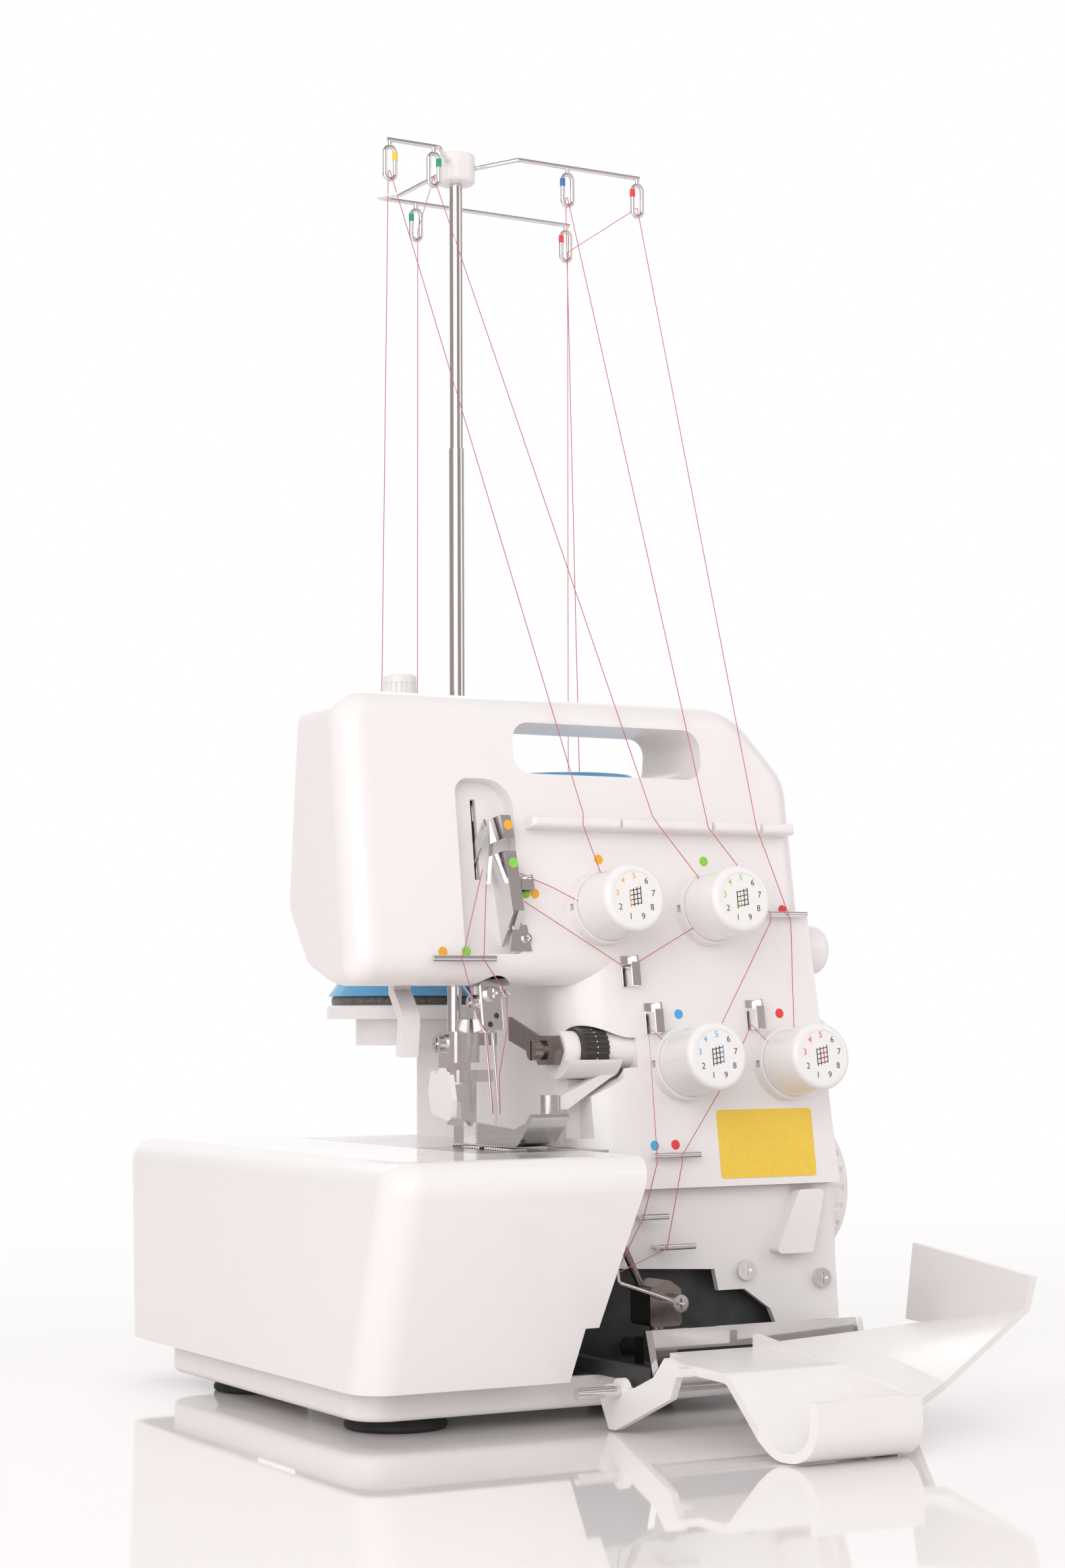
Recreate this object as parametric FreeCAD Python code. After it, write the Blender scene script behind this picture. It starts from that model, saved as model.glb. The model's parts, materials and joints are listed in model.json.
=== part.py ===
import FreeCAD, Part
import math
import os

V = FreeCAD.Vector

# Household overlock machine, in millimetres: +X to the operator's right, +Y away from the operator,
# +Z up. Everything is drawn about the middle of the base, with the table top at TABLE_Z, and then
# moved by the three origin values, so that the finished part's origin is the middle of its footprint.
ORIGIN_X = -1.8
ORIGIN_Y = -41.8
TABLE_Z = 3.0

# Walls and clearances
WALL = 3.0
RUN_GAP = 0.05
SEAT_GAP = 0.2
FREE_GAP = 0.5

# Base tray and feet
BASE_LEFT = -130.0
BASE_RIGHT = 115.0
BASE_FRONT = -95.0
BASE_BACK = 110.0
BASE_TOP = 21.5
BASE_CORNER = 16.0
BASE_BOTTOM = 9.0
FOOT_RADIUS = 21.5
FOOT_INSET = 29.0
FOOT_BACK_INSET = 42.0

# Bed cover: its front leans out towards the top
BED_TOP = 110.0
BED_BOTTOM = BASE_TOP + SEAT_GAP
BED_LEFT_TOP = -138.0
BED_LEFT_BOTTOM = -137.0
BED_FRONT_TOP = -144.0
BED_FRONT_BOTTOM = -112.0
BED_BACK_TOP = 141.0
BED_BACK_BOTTOM = 139.0
BED_RIGHT_TOP = -27.0
BED_RIGHT_STEP = -39.0
BED_STEP_HEIGHT = 43.0
BED_STEP = 6.0
BED_RIGHT_BOTTOM = -48.0
BED_EDGE = 10.0
BED_CORNER = 14.0

# Upper casing: arm and column share one slanted front panel
PANEL_TOP_Y = -36.62
CASE_TOP = 299.7
PANEL_SLOPE = 0.14
CASE_BACK = 16.5
CASE_SPLIT = 0.0
ARM_LEFT = -112.5
ARM_BOTTOM = 177.0
ARM_BOTTOM_CORNER = 8.0
ARM_TOP_CORNER = 14.0
ARM_TOP_BACK = 7.0
ARM_KNEE_Z = 209.5
ARM_KNEE_ROUND = 14.0
ARM_SLANT_Y = -3.0
ARM_SLANT_Z = 185.5
ARM_SLANT_ROUND = 8.0
ARM_LOW_BACK = -27.0
CASE_EDGE = 12.0
CASE_BACK_EDGE = 5.0
SHOULDER_START = 81.0
SHOULDER_END = 108.0
SHOULDER_END_Z = 268.0
SHOULDER_ROUND = 30.0
SHOULDER_END_ROUND = 24.0
COLUMN_LEFT = -12.0
COLUMN_RIGHT = 113.0
COLUMN_BACK = 15.3
COLUMN_BOTTOM = 92.0
COLUMN_CORNER = 25.0
COLUMN_TAPER = 0.011

# Handle window
WINDOW_LEFT = -33.0
WINDOW_RIGHT = 60.0
WINDOW_BOTTOM = 266.5
WINDOW_TOP = 288.5
WINDOW_CORNER = 8.0

# Thread ledge on the panel
LEDGE_LEFT = -30.0
LEDGE_RIGHT = 101.0
LEDGE_TOP = 247.0
LEDGE_THICK = 4.5
LEDGE_OUT = 8.0
LEDGE_NOTCHES = (12.0, 58.0, 83.0)
LEDGE_NOTCH = 1.6

# Take-up pocket in the panel
POCKET_LEFT = -62.0
POCKET_RIGHT = -35.0
POCKET_BOTTOM = 190.0
POCKET_TOP = 263.5
POCKET_DEPTH = 7.0
POCKET_ROUND = 13.0
POCKET_CORNER = 3.0
POCKET_WALL = 2.5
SLOT_LEFT = -51.6
SLOT_WIDTH = 2.4
SLOT_BOTTOM = 222.0
SLOT_TOP = 256.0

# Take-up lever on its pin
TAKEUP_X = -51.0
TAKEUP_Y = -17.5
TAKEUP_Z = 214.0
TAKEUP_SHEET = 1.0
TAKEUP_PIN = 1.5
TAKEUP_HUB = 3.2
TAKEUP_TIP = (-47.0, 246.0)
TAKEUP_TIP_WIDTH = 1.5
TAKEUP_EYE = (-46.2, 242.5)
TAKEUP_EYE_RADIUS = 0.7

# Bent steel guards over the pocket: left edge at the top and bottom, width, top and bottom
GUARD_SHEET = 0.8
GUARD_OUT = 6.0
UPPER_GUARD = (-45.0, -43.8, 4.7, POCKET_TOP - 16.6, POCKET_TOP - 26.3)
LOWER_GUARD = (-44.2, -42.2, 5.4, POCKET_TOP - 31.6, POCKET_TOP - 56.6)
FINGER_TIP = (-48.4, POCKET_TOP - 44.0)
FINGER_WIDTH = 1.6
FINGER_DEPTH = 3.0
GUARD_LOW = POCKET_BOTTOM + 3.2
GUARD_FOOT = ((-41.6, 191.1), (-31.2, 191.1), (-32.8, 202.0), (-39.5, 202.0))
GUARD_SCREW = (-33.4, 196.5)
GUARD_SCREW_RADIUS = 2.0
HOOK = (-36.4, -30.5, 216.0, 222.5)
HOOK_OUT = 4.6

# Tension dials, placed on the panel
DIAL_PLACES = ((3.6, 209.3), (56.2, 209.5), (37.4, 143.5), (89.5, 142.9))
DIAL_RADIUS = 14.4
DIAL_FACE_RADIUS = 11.0
DIAL_LENGTH = 30.0
DIAL_EDGE = 2.6
COLLAR_LENGTH = 6.0
COLLAR_RADIUS = 15.6
COLLAR_SLIT = 3.0
POST_RADIUS = 3.0

# Thread clips and guide bars on the panel
CLIP_PLACES = ((11.2, 182.8), (20.9, 162.9), (71.9, 164.1))
CLIP_WIDTH = 6.5
CLIP_HEIGHT = 13.0
CLIP_DEPTH = 4.5
CLIP_SHEET = 0.8
GUIDE_BARS = ((86.0, 106.0, 207.6), (18.0, 41.0, 105.3), (-79.0, -50.0, 187.5))
GUIDE_BAR_RADIUS = 1.3
GUIDE_BAR_OUT = 3.4
GUIDE_FOOT = 5.0

# Lower front cover, behind the looper cover
LOWER_FRONT = -60.0
LOWER_THICK = 3.0
LOWER_OUTLINE = ((-10.0, 91.5), (112.0, 91.5), (116.0, 26.0), (86.0, 26.0), (80.0, 39.0),
                 (67.0, 48.0), (54.0, 48.0), (52.0, 57.0), (-10.0, 60.0))
LOWER_PINS = ((12.0, 25.0, 80.5), (20.0, 38.0, 67.8))
LOWER_PIN_OUT = 7.0
COVER_TAB = ((78.9, 62.6), (97.9, 62.6), (104.3, 89.5), (91.0, 89.5))
COVER_TAB_OUT = 7.0
SCREW_PLACES = ((67.0, 56.0), (106.0, 51.0))
SCREW_HEAD_RADIUS = 4.2
SCREW_HEAD = 2.2
SCREW_RADIUS = 2.0
SCREW_LENGTH = 9.0
CROSS_SLOT = 0.9

# Lower rear housing
HOUSING_LEFT = -72.7
HOUSING_RIGHT = 116.0
HOUSING_FRONT = -23.0
HOUSING_BACK = 95.0
HOUSING_TOP = 151.5
HOUSING_WALL_FRONT = LOWER_FRONT + LOWER_THICK
TOWER_LEFT = -14.0
TOWER_FRONT = CASE_BACK + 0.6

# Cast frame
SLAB_FRONT = -80.0
SLAB_THICK = 6.0
FRAME_LEFT = -71.0
FRAME_WALL_FRONT = -50.0
FRAME_WALL_BACK = -45.0
FRAME_WALL_TOP = 91.0
WEB_LEFT = 12.0
WEB_RIGHT = 84.0
WEB_THICK = 10.0
WEB_BACK = 8.0
WEB_LEAN_Z = 200.0
WEB_TOP_FRONT = -38.0
BEAM_FRONT = -14.0
BEAM_BACK = 6.0
BEAM_LEFT = -98.0
BEAM_BOTTOM = 186.0
BEAM_TOP = 246.0
BEAM_SLANT_Y = -12.0
BEAM_SLANT_Z = 204.5
LUG_LEFT = -64.0
LUG_RIGHT = -36.0
LUG_THICK = 4.2
LUG_WALL = 2.0
LUG_FRONT_LOW = -44.0
LUG_FRONT_HIGH = -33.5

# Needle bar, leaning forwards at the bottom
NEEDLE_X = -45.5
NEEDLE_Y = -40.0
NEEDLE_Z = 165.0
NEEDLE_LEAN = 9.0
NEEDLE_BAR_RADIUS = 3.2
NEEDLE_BAR_TOP = 108.0
NEEDLE_BAR_BOTTOM = 6.0
CLAMP_WIDTH = 11.0
CLAMP_DEPTH = 9.0
CLAMP_TOP = 14.0
CLAMP_BOTTOM = -7.0
NEEDLE_PITCH = 3.2
NEEDLE_RADIUS = 0.8
NEEDLE_TIP = -42.0
NEEDLE_STROKE = 24.0

# Presser bar and foot
PRESSER_X = -55.0
PRESSER_Y = -28.0
PRESSER_RADIUS = 3.0
PRESSER_TOP = 252.0
PRESSER_BOTTOM = 140.0
PRESSER_LIFT = 6.0
HOLDER_WIDTH = 10.0
HOLDER_DEPTH = 10.0
HOLDER_TOP = 158.0
HOLDER_BOTTOM = 119.0
HOLDER_SHEET = 1.3
FOOT_LEFT = -53.0
FOOT_RIGHT = -26.0
FOOT_FRONT = -92.0
FOOT_BACK = -28.0
FOOT_SOLE = 111.6
FOOT_THICK = 2.4
FOOT_TOE = 12.0
FOOT_WALL = 2.0
FOOT_SIDE = 9.0
FOOT_TOE_RIGHT = -36.0
FOOT_TOE_BACK = -66.0
GUARD_LEFT = -66.0
GUARD_THICK = 2.4
GUARD_OUTLINE = ((-46.0, 121.0, 3.0), (-28.0, 124.0, 4.0), (-25.0, 133.0, 5.0), (-28.0, 143.0, 2.0),
                 (-33.0, 140.0, 1.5), (-36.0, 144.0, 1.5), (-40.0, 139.5, 1.5), (-44.0, 141.0, 1.5),
                 (-47.0, 130.0, 3.0))
LIFTER_X = -74.0
LIFTER_Y = -8.0
LIFTER_Z = 192.0
LIFTER_PIN_RADIUS = 2.0
LIFTER_HUB_RADIUS = 5.5
LIFTER_WIDTH = 8.0
LIFTER_HOLE_FRONT = 22.0
LIFTER_HOLE_BACK = 19.0

# Needle plate and feed dogs
PLATE_LEFT = -72.5
PLATE_RIGHT = -14.5
PLATE_FRONT = -86.0
PLATE_BACK = -23.5
PLATE_THICK = 3.0
DOG_LEFT = -56.0
DOG_WIDTH = 7.0
DOG_LENGTH = 24.0
DOG_MAIN_Y = -52.0
DOG_DIFF_Y = -80.0
DOG_RISE = 0.9
DOG_TOOTH = 2.0
DOG_TRAVEL = 1.5

# Upper knife on its cross shaft
KNIFE_Y = -48.0
KNIFE_Z = 150.0
KNIFE_COLLAR_RADIUS = 8.0
KNIFE_KNOB_RADIUS = 9.2
KNIFE_PIN_RADIUS = 3.0
KNIFE_SCREW_LEFT = -29.5
KNIFE_NUT_LEFT = -24.5
KNIFE_NUT_RADIUS = 7.0
KNIFE_SCREW_RADIUS = 4.2
KNIFE_COLLAR_LEFT = -17.5
KNIFE_KNOB_LEFT = -10.0
KNIFE_KNOB_GRIPS = 24
KNIFE_SLEEVE_LEFT = 3.5
KNIFE_SLEEVE_RIGHT = 24.0
KNIFE_LUG_LEFT = 25.0
KNIFE_PIN_RIGHT = 36.0
SCOOP_RADIUS = 13.0
KNOB_ROOM = 1.0
SCOOP_RIGHT = 16.0
SADDLE_RADIUS = 12.0
SADDLE_RIGHT = 8.0
SADDLE_DROP = 4.0
KNIFE_ARM_FRONT = -54.0
KNIFE_ARM_BACK = -48.0
KNIFE_ARM_END = -20.0
KNIFE_SLOT_RIGHT = 9.0
KNIFE_SLOT_LOW_RIGHT = -4.0
KNIFE_SLOT_GAP = 1.5
KNIFE_SLOT_SWING = 3.5
KNIFE_HOLDER = (-23.0, -52.0, 123.5)
KNIFE_HOLDER_RADIUS = 4.2
KNIFE_HOLDER_HEIGHT = 8.0
KNIFE_BLADE = 1.5

# Main shaft, motor and belt
SHAFT_Y = -19.0
SHAFT_Z = 88.0
SHAFT_RADIUS = 5.0
SHAFT_LEFT = -8.0
SHAFT_RIGHT = 128.0
BUSH_RADIUS = 8.0
PULLEY_LEFT = 97.0
PULLEY_WIDTH = 9.0
PULLEY_RADIUS = 21.0
WHEEL_LEFT = 117.0
WHEEL_WIDTH = 13.0
WHEEL_RADIUS = 31.0
WHEEL_GRIPS = 24
MOTOR_Y = 55.0
MOTOR_Z = 66.0
MOTOR_RADIUS = 24.0
MOTOR_LEFT = 8.0
MOTOR_RIGHT = 84.0
MOTOR_SHAFT_RADIUS = 3.0
MOTOR_PULLEY_RADIUS = 7.0
BELT_THICK = 1.6
BELT_GAP = 0.3
BELT_NOTCH = 12.0

# Feed dials on the right side
SIDE_DIAL_RADIUS = 11.0
SIDE_DIAL_LENGTH = 16.0
SIDE_DIALS = {"differential_dial": (-34.0, 193.0), "stitch_length_dial": (-36.0, 152.0)}

# Power inlet and switch on the right side
INLET_Y = 30.0
INLET_Z = 40.0
INLET_WIDTH = 26.0
INLET_HEIGHT = 18.0
SWITCH_Y = 72.0
SWITCH_HEIGHT = 22.0
SWITCH_WIDTH = 13.0
SWITCH_PIN_RADIUS = 0.9

# Spools and thread stand
SPOOL_PLACES = ((-32.5, 70.0), (10.0, 120.0), (54.5, 70.0), (99.0, 120.0))
SPOOL_RING = (0, 2, 3, 1)
TRAY_TOP = 169.5
TRAY_THICK = 6.2
TRAY_MARGIN = 33.0
SEAT_INSET = 13.0
PAD_RADIUS = 31.0
PAD_THICK = 4.0
REEL_FLANGE_RADIUS = 32.5
REEL_FLANGE = 7.0
REEL_TOP = 276.0
REEL_TOP_RADIUS = 31.0
REEL_LID = 4.0
REEL_CORE_RADIUS = 12.0
REEL_BORE_RADIUS = 6.0
WINDING_RADIUS = 26.0
SPOOL_PIN_RADIUS = 3.0
CAP_TOP = 320.0
CAP_RADIUS = 7.6
CAP_SKIRT_RADIUS = 9.0
CAP_RIBS = 20
POLE_X = 3.2
POLE_Y = 82.0
POLE_OUTER_RADIUS = 3.6
POLE_INNER_RADIUS = 3.1
POLE_STEP = 430.0
POLE_OVERLAP = 24.0
POLE_TRAVEL = 120.0
HUB_BOTTOM = 557.0
HUB_HEIGHT = 14.0
HUB_RADIUS = 9.2
WIRE_RADIUS = 1.1
WIRE_BEND = 4.0
WIRE_Z = 566.0
EYE_WIDTH = 5.2
EYE_HEIGHT = 10.0
EYE_DROP = 6.0
EYE_PASS = 1.8
FRONT_EYES = ((-42.0, 60.0), (-19.5, 60.0), (51.5, 60.0), (90.0, 60.0))
REAR_EYES = ((14.5, 147.0), (99.5, 147.0))
THREAD_RADIUS = 0.25

FEED_BAR_TOP = 100.8

# Looper area
LOOPER_PIVOT = (15.0, 26.0)
LOOPER_SHAFT_RADIUS = 4.0
LOOPER_BLOCK = (7.0, 22.0, 37.0, 56.0)
LOOPER_BLOCK_FRONT = -82.0
LOOPER_BLOCK_BACK = -66.0
UPPER_PIVOT = (-22.0, 70.0)
UPPER_LOOPER_FRONT = -66.0

# Looper cover, drawn open: it turns on a pin in front of the base
HINGE_Y = -126.0
HINGE_Z = 19.0
HINGE_PIN_RADIUS = 2.2
HINGE_LEFT = -53.0
HINGE_RIGHT = 106.0
EAR_PLACES = (-27.0, 90.0)
EAR_WIDTH = 5.0
EAR_RADIUS = 5.0
BAR_Y = -121.5
BAR_LEFT = -18.0
BAR_RIGHT = 81.0
BAR_BOTTOM = 33.0
BAR_TOP = 41.0
BAR_SHEET = 1.6
COVER_SHEET = 3.0
TROUGH_SHEET = 3.6
TROUGH_LEFT = -26.0
TROUGH_RIGHT = 28.0
TROUGH_FRONT = -235.4
TROUGH_FLOOR = TABLE_Z + 4.2
TROUGH_RIM = 26.0
TROUGH_BEND = 9.0
TROUGH_SLANT = 8.0
WING_RIGHT = 119.0
COVER_EAR_LEFT = 102.0
BRACKET_LEFT = -34.0
BRACKET_BOSS = 5.0
COVER_BACK = -131.5
HUMP_Y = -192.0
HUMP_Z = 32.0

PANEL_TILT = math.atan(PANEL_SLOPE)


def panel_y(z):
    """Y of the slanted panel at height z."""
    return PANEL_TOP_Y - (CASE_TOP - z) * PANEL_SLOPE


def slope(z):
    """Distance along the panel of the line at height z, from the top edge."""
    return (z - CASE_TOP) / math.cos(PANEL_TILT)


def on_panel(shape):
    """Move a shape drawn with the panel as Y = 0 and its slope as Z to its place on the machine."""
    placed = shape.copy()
    placed.rotate(V(0, 0, 0), V(1, 0, 0), -math.degrees(PANEL_TILT))
    placed.translate(V(0, PANEL_TOP_Y, CASE_TOP))
    return placed


def on_needle(shape):
    """Move a shape drawn about a vertical needle axis at the origin to the leaning needle axis."""
    placed = shape.copy()
    placed.rotate(V(0, 0, 0), V(1, 0, 0), -NEEDLE_LEAN)
    placed.translate(V(NEEDLE_X, NEEDLE_Y, NEEDLE_Z))
    return placed


def box(x0, x1, y0, y1, z0, z1):
    return Part.makeBox(x1 - x0, y1 - y0, z1 - z0, V(x0, y0, z0))


def rod(start, end, radius):
    start = V(*start)
    way = V(*end) - start
    return Part.makeCylinder(radius, way.Length, start, way)


def ring(start, end, outer, inner):
    return rod(start, end, outer).cut(rod(start, end, inner))


def cone(start, end, first, last):
    start = V(*start)
    way = V(*end) - start
    return Part.makeCone(first, last, way.Length, start, way)


def fuse(shapes):
    return shapes[0].multiFuse(shapes[1:]).removeSplitter()


def cut(shape, tools):
    for tool in tools:
        shape = shape.cut(tool)
    return shape


def group(shapes):
    return Part.makeCompound(shapes)


def outline(corners, plane):
    """Closed wire through (a, b, radius) corners, each rounded by its own radius."""
    edges = []
    starts = []
    ends = []
    arcs = []
    count = len(corners)
    for i in range(count):
        here = V(corners[i][0], corners[i][1], 0)
        before = V(corners[i - 1][0], corners[i - 1][1], 0) - here
        after = V(corners[(i + 1) % count][0], corners[(i + 1) % count][1], 0) - here
        before.normalize()
        after.normalize()
        radius = corners[i][2]
        half = before.getAngle(after) / 2
        reach = radius / math.tan(half)
        starts.append(here + before * reach)
        ends.append(here + after * reach)
        inward = before + after
        if radius:
            inward.normalize()
            arcs.append(here + inward * (radius / math.sin(half) - radius))
        else:
            arcs.append(None)
    for i in range(count):
        if arcs[i]:
            edges.append(Part.Arc(plane(starts[i]), plane(arcs[i]), plane(ends[i])).toShape())
        following = starts[(i + 1) % count]
        edges.append(Part.LineSegment(plane(ends[i]), plane(following)).toShape())
    return Part.Wire(edges)


def sharp(points):
    return [(a, b, 0.0) for a, b in points]


def prism_x(corners, x0, x1):
    wire = outline(corners, lambda p: V(x0, p.x, p.y))
    return Part.Face(wire).extrude(V(x1 - x0, 0, 0))


def prism_y(corners, y0, y1):
    wire = outline(corners, lambda p: V(p.x, y0, p.y))
    return Part.Face(wire).extrude(V(0, y1 - y0, 0))


def prism_z(corners, z0, z1):
    wire = outline(corners, lambda p: V(p.x, p.y, z0))
    return Part.Face(wire).extrude(V(0, 0, z1 - z0))


def rounded(shape, radius, pick):
    return shape.makeFillet(radius, [edge for edge in shape.Edges if pick(edge)])


def bent_path(points, bend):
    """Open wire of straight runs joined by tangent arcs of one radius."""
    spots = [V(*point) for point in points]
    edges = []
    start = spots[0]
    for before, corner, after in zip(spots, spots[1:], spots[2:]):
        back = before - corner
        ahead = after - corner
        back.normalize()
        ahead.normalize()
        half = back.getAngle(ahead) / 2
        reach = bend / math.tan(half)
        inward = back + ahead
        inward.normalize()
        first = corner + back * reach
        last = corner + ahead * reach
        middle = corner + inward * (bend / math.sin(half) - bend)
        edges.append(Part.LineSegment(start, first).toShape())
        edges.append(Part.Arc(first, middle, last).toShape())
        start = last
    edges.append(Part.LineSegment(start, spots[-1]).toShape())
    return Part.Wire(edges)


def bent_rod(points, radius, bend):
    path = bent_path(points, bend)
    way = V(*points[1]) - V(*points[0])
    section = Part.Wire([Part.Circle(V(*points[0]), way, radius).toShape()])
    return path.makePipeShell([section], True, False)


def sheet_x(points, bend, thick, x0, x1):
    """Bent sheet: a (y, z) line given a thickness and drawn out along X."""
    path = bent_path([(x0, y, z) for y, z in points], bend)
    face = path.makeOffset2D(thick, 0, True, True)
    return face.extrude(V(x1 - x0, 0, 0))


def cross_head(centre, way, radius, height):
    """Domed screw head with a cross slot; way points out of the screw."""
    head = rod(centre, tuple(V(*centre) + V(*way) * height), radius)
    top = V(*centre) + V(*way) * height
    slots = []
    for turn in (0, 90):
        bar = box(-radius * 0.6, radius * 0.6, -CROSS_SLOT / 2, CROSS_SLOT / 2, -height / 2, height)
        bar.rotate(V(0, 0, 0), V(0, 0, 1), turn)
        bar.Placement = FreeCAD.Placement(top, FreeCAD.Rotation(V(0, 0, 1), V(*way))).multiply(bar.Placement)
        slots.append(bar)
    return cut(head, slots)


def base_tray():
    corners = [(BASE_LEFT, BASE_FRONT), (BASE_RIGHT, BASE_FRONT),
               (BASE_RIGHT, BASE_BACK), (BASE_LEFT, BASE_BACK)]
    outer = prism_z([(x, y, BASE_CORNER) for x, y in corners], BASE_BOTTOM, BASE_TOP)
    middle_x = (BASE_LEFT + BASE_RIGHT) / 2
    middle_y = (BASE_FRONT + BASE_BACK) / 2
    inner_corners = []
    for x, y in corners:
        in_x = x - math.copysign(WALL, x - middle_x)
        in_y = y - math.copysign(WALL, y - middle_y)
        inner_corners.append((in_x, in_y, BASE_CORNER - WALL))
    inner = prism_z(inner_corners, BASE_BOTTOM + WALL, BASE_TOP + WALL)
    outer = rounded(outer, 3.0, lambda e: e.BoundBox.ZMax < BASE_BOTTOM + 0.01)
    return outer.cut(inner)


def foot_places():
    xs = (BASE_LEFT + FOOT_INSET, BASE_RIGHT - FOOT_INSET)
    ys = (BASE_FRONT + FOOT_INSET, BASE_BACK - FOOT_BACK_INSET)
    return [(x, y) for x in xs for y in ys]


def rubber_feet():
    feet = []
    for x, y in foot_places():
        foot = cone((x, y, TABLE_Z), (x, y, BASE_BOTTOM), FOOT_RADIUS, FOOT_RADIUS - 3.0)
        feet.append(rounded(foot, 1.5, lambda e: e.BoundBox.ZMax < TABLE_Z + 0.01))
    return group(feet)


def bed_block(inset, right):
    """Leaning block of the bed cover, drawn in by inset on its closed sides."""
    low = [(BED_LEFT_BOTTOM + inset, BED_FRONT_BOTTOM + inset), (right, BED_FRONT_BOTTOM + inset),
           (right, BED_BACK_BOTTOM - inset), (BED_LEFT_BOTTOM + inset, BED_BACK_BOTTOM - inset)]
    high = [(BED_LEFT_TOP + inset, BED_FRONT_TOP + inset), (right, BED_FRONT_TOP + inset),
            (right, BED_BACK_TOP - inset), (BED_LEFT_TOP + inset, BED_BACK_TOP - inset)]
    wires = []
    for points, z in ((low, BED_BOTTOM), (high, BED_TOP - inset)):
        wires.append(Part.makePolygon([V(x, y, z) for x, y in points + points[:1]]))
    block = Part.makeLoft(wires, True, True)
    top = BED_TOP - inset

    def upright_left(edge):
        box_ = edge.BoundBox
        on_left = box_.XMax < max(BED_LEFT_BOTTOM, BED_LEFT_TOP) + inset + 0.1
        return on_left and box_.ZLength > 10 and box_.ZMax > top - 0.1

    def top_closed(edge):
        box_ = edge.BoundBox
        return box_.ZMin > top - 0.1 and box_.XMin < right - 0.1

    block = rounded(block, BED_CORNER - inset, upright_left)
    return rounded(block, BED_EDGE - inset, top_closed)


def bed_cover():
    right = BED_RIGHT_TOP + 5.0
    shell = bed_block(0.0, right)
    room = bed_block(WALL, right + 5.0)
    below = box(BED_LEFT_TOP, right + 5.0, BED_FRONT_TOP, BED_BACK_TOP, 0, BED_BOTTOM)
    edge = sharp([(BED_RIGHT_TOP, BED_TOP + 1), (BED_RIGHT_STEP, BED_STEP_HEIGHT),
                  (BED_RIGHT_STEP - BED_STEP, BED_STEP_HEIGHT), (BED_RIGHT_BOTTOM, BED_BOTTOM - 1),
                  (right + 5.0, BED_BOTTOM - 1), (right + 5.0, BED_TOP + 1)])
    front_edge = prism_y(edge, BED_FRONT_TOP - 1, BED_BACK_TOP + 1)
    notch = box(PLATE_LEFT - FREE_GAP, right + 5.0, PLATE_FRONT - FREE_GAP, BED_BACK_TOP + 1, 0, BED_TOP + 1)
    return cut(shell, [room, below, front_edge, notch])


def arm_side(inset):
    """Side view of the arm drawn along X: leaning back and rising underside, drawn in by inset."""
    top = CASE_TOP + 10
    back_lean = (CASE_BACK - ARM_TOP_BACK) / (CASE_TOP - ARM_KNEE_Z)
    corners = [(panel_y(0), 0, 0.0), (panel_y(top), top, 0.0), (ARM_TOP_BACK - 10 * back_lean, top, 0.0),
               (CASE_BACK, ARM_KNEE_Z, ARM_KNEE_ROUND), (ARM_SLANT_Y, ARM_SLANT_Z, ARM_SLANT_ROUND),
               (ARM_LOW_BACK, ARM_BOTTOM, 0.0), (ARM_LOW_BACK, 0, 0.0)]
    wire = outline(corners, lambda p: V(ARM_LEFT - 10, p.x, p.y))
    if inset:
        wire = wire.makeOffset2D(-inset)
    return Part.Face(wire).extrude(V(COLUMN_RIGHT - ARM_LEFT + 20, 0, 0))


def upper_block(inset):
    """Arm and top of the upper casing, with its rounded front and back edges."""
    right_low = SHOULDER_END + 1.0
    corners = [(ARM_LEFT, ARM_BOTTOM, ARM_BOTTOM_CORNER), (ARM_LEFT, CASE_TOP, ARM_TOP_CORNER),
               (SHOULDER_START, CASE_TOP, SHOULDER_ROUND),
               (SHOULDER_END, SHOULDER_END_Z, SHOULDER_END_ROUND), (right_low, ARM_BOTTOM, 0.0)]
    wire = outline(corners, lambda p: V(p.x, 0, p.y))
    if inset:
        wire = wire.makeOffset2D(-inset)
    depth = CASE_BACK - panel_y(0)
    block = Part.Face(wire).extrude(V(0, 2 * depth, 0))
    block.translate(V(0, -depth, 0))
    lean = inset / math.cos(PANEL_TILT)
    block = block.common(arm_side(inset))

    def on_front(edge):
        return all(abs(v.Y - panel_y(v.Z) - lean) < 0.01 for v in edge.Vertexes)

    def on_back(edge):
        reach = edge.BoundBox
        end_edge = reach.XMax < ARM_LEFT + inset + 0.01 and reach.ZLength > 0.5
        top_edge = reach.ZMin > CASE_TOP - inset - 0.01 and reach.XLength > 1
        corner = reach.XLength > 1 and reach.ZLength > 1
        return not on_front(edge) and (end_edge or top_edge or corner)

    def not_right(edge):
        return edge.BoundBox.XMin < SHOULDER_END - inset - 3 or edge.BoundBox.ZMin > SHOULDER_END_Z - 12

    block = rounded(block, CASE_EDGE - inset, lambda e: on_front(e) and not_right(e))
    return rounded(block, CASE_BACK_EDGE - inset, lambda e: on_back(e) and not_right(e))


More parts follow.
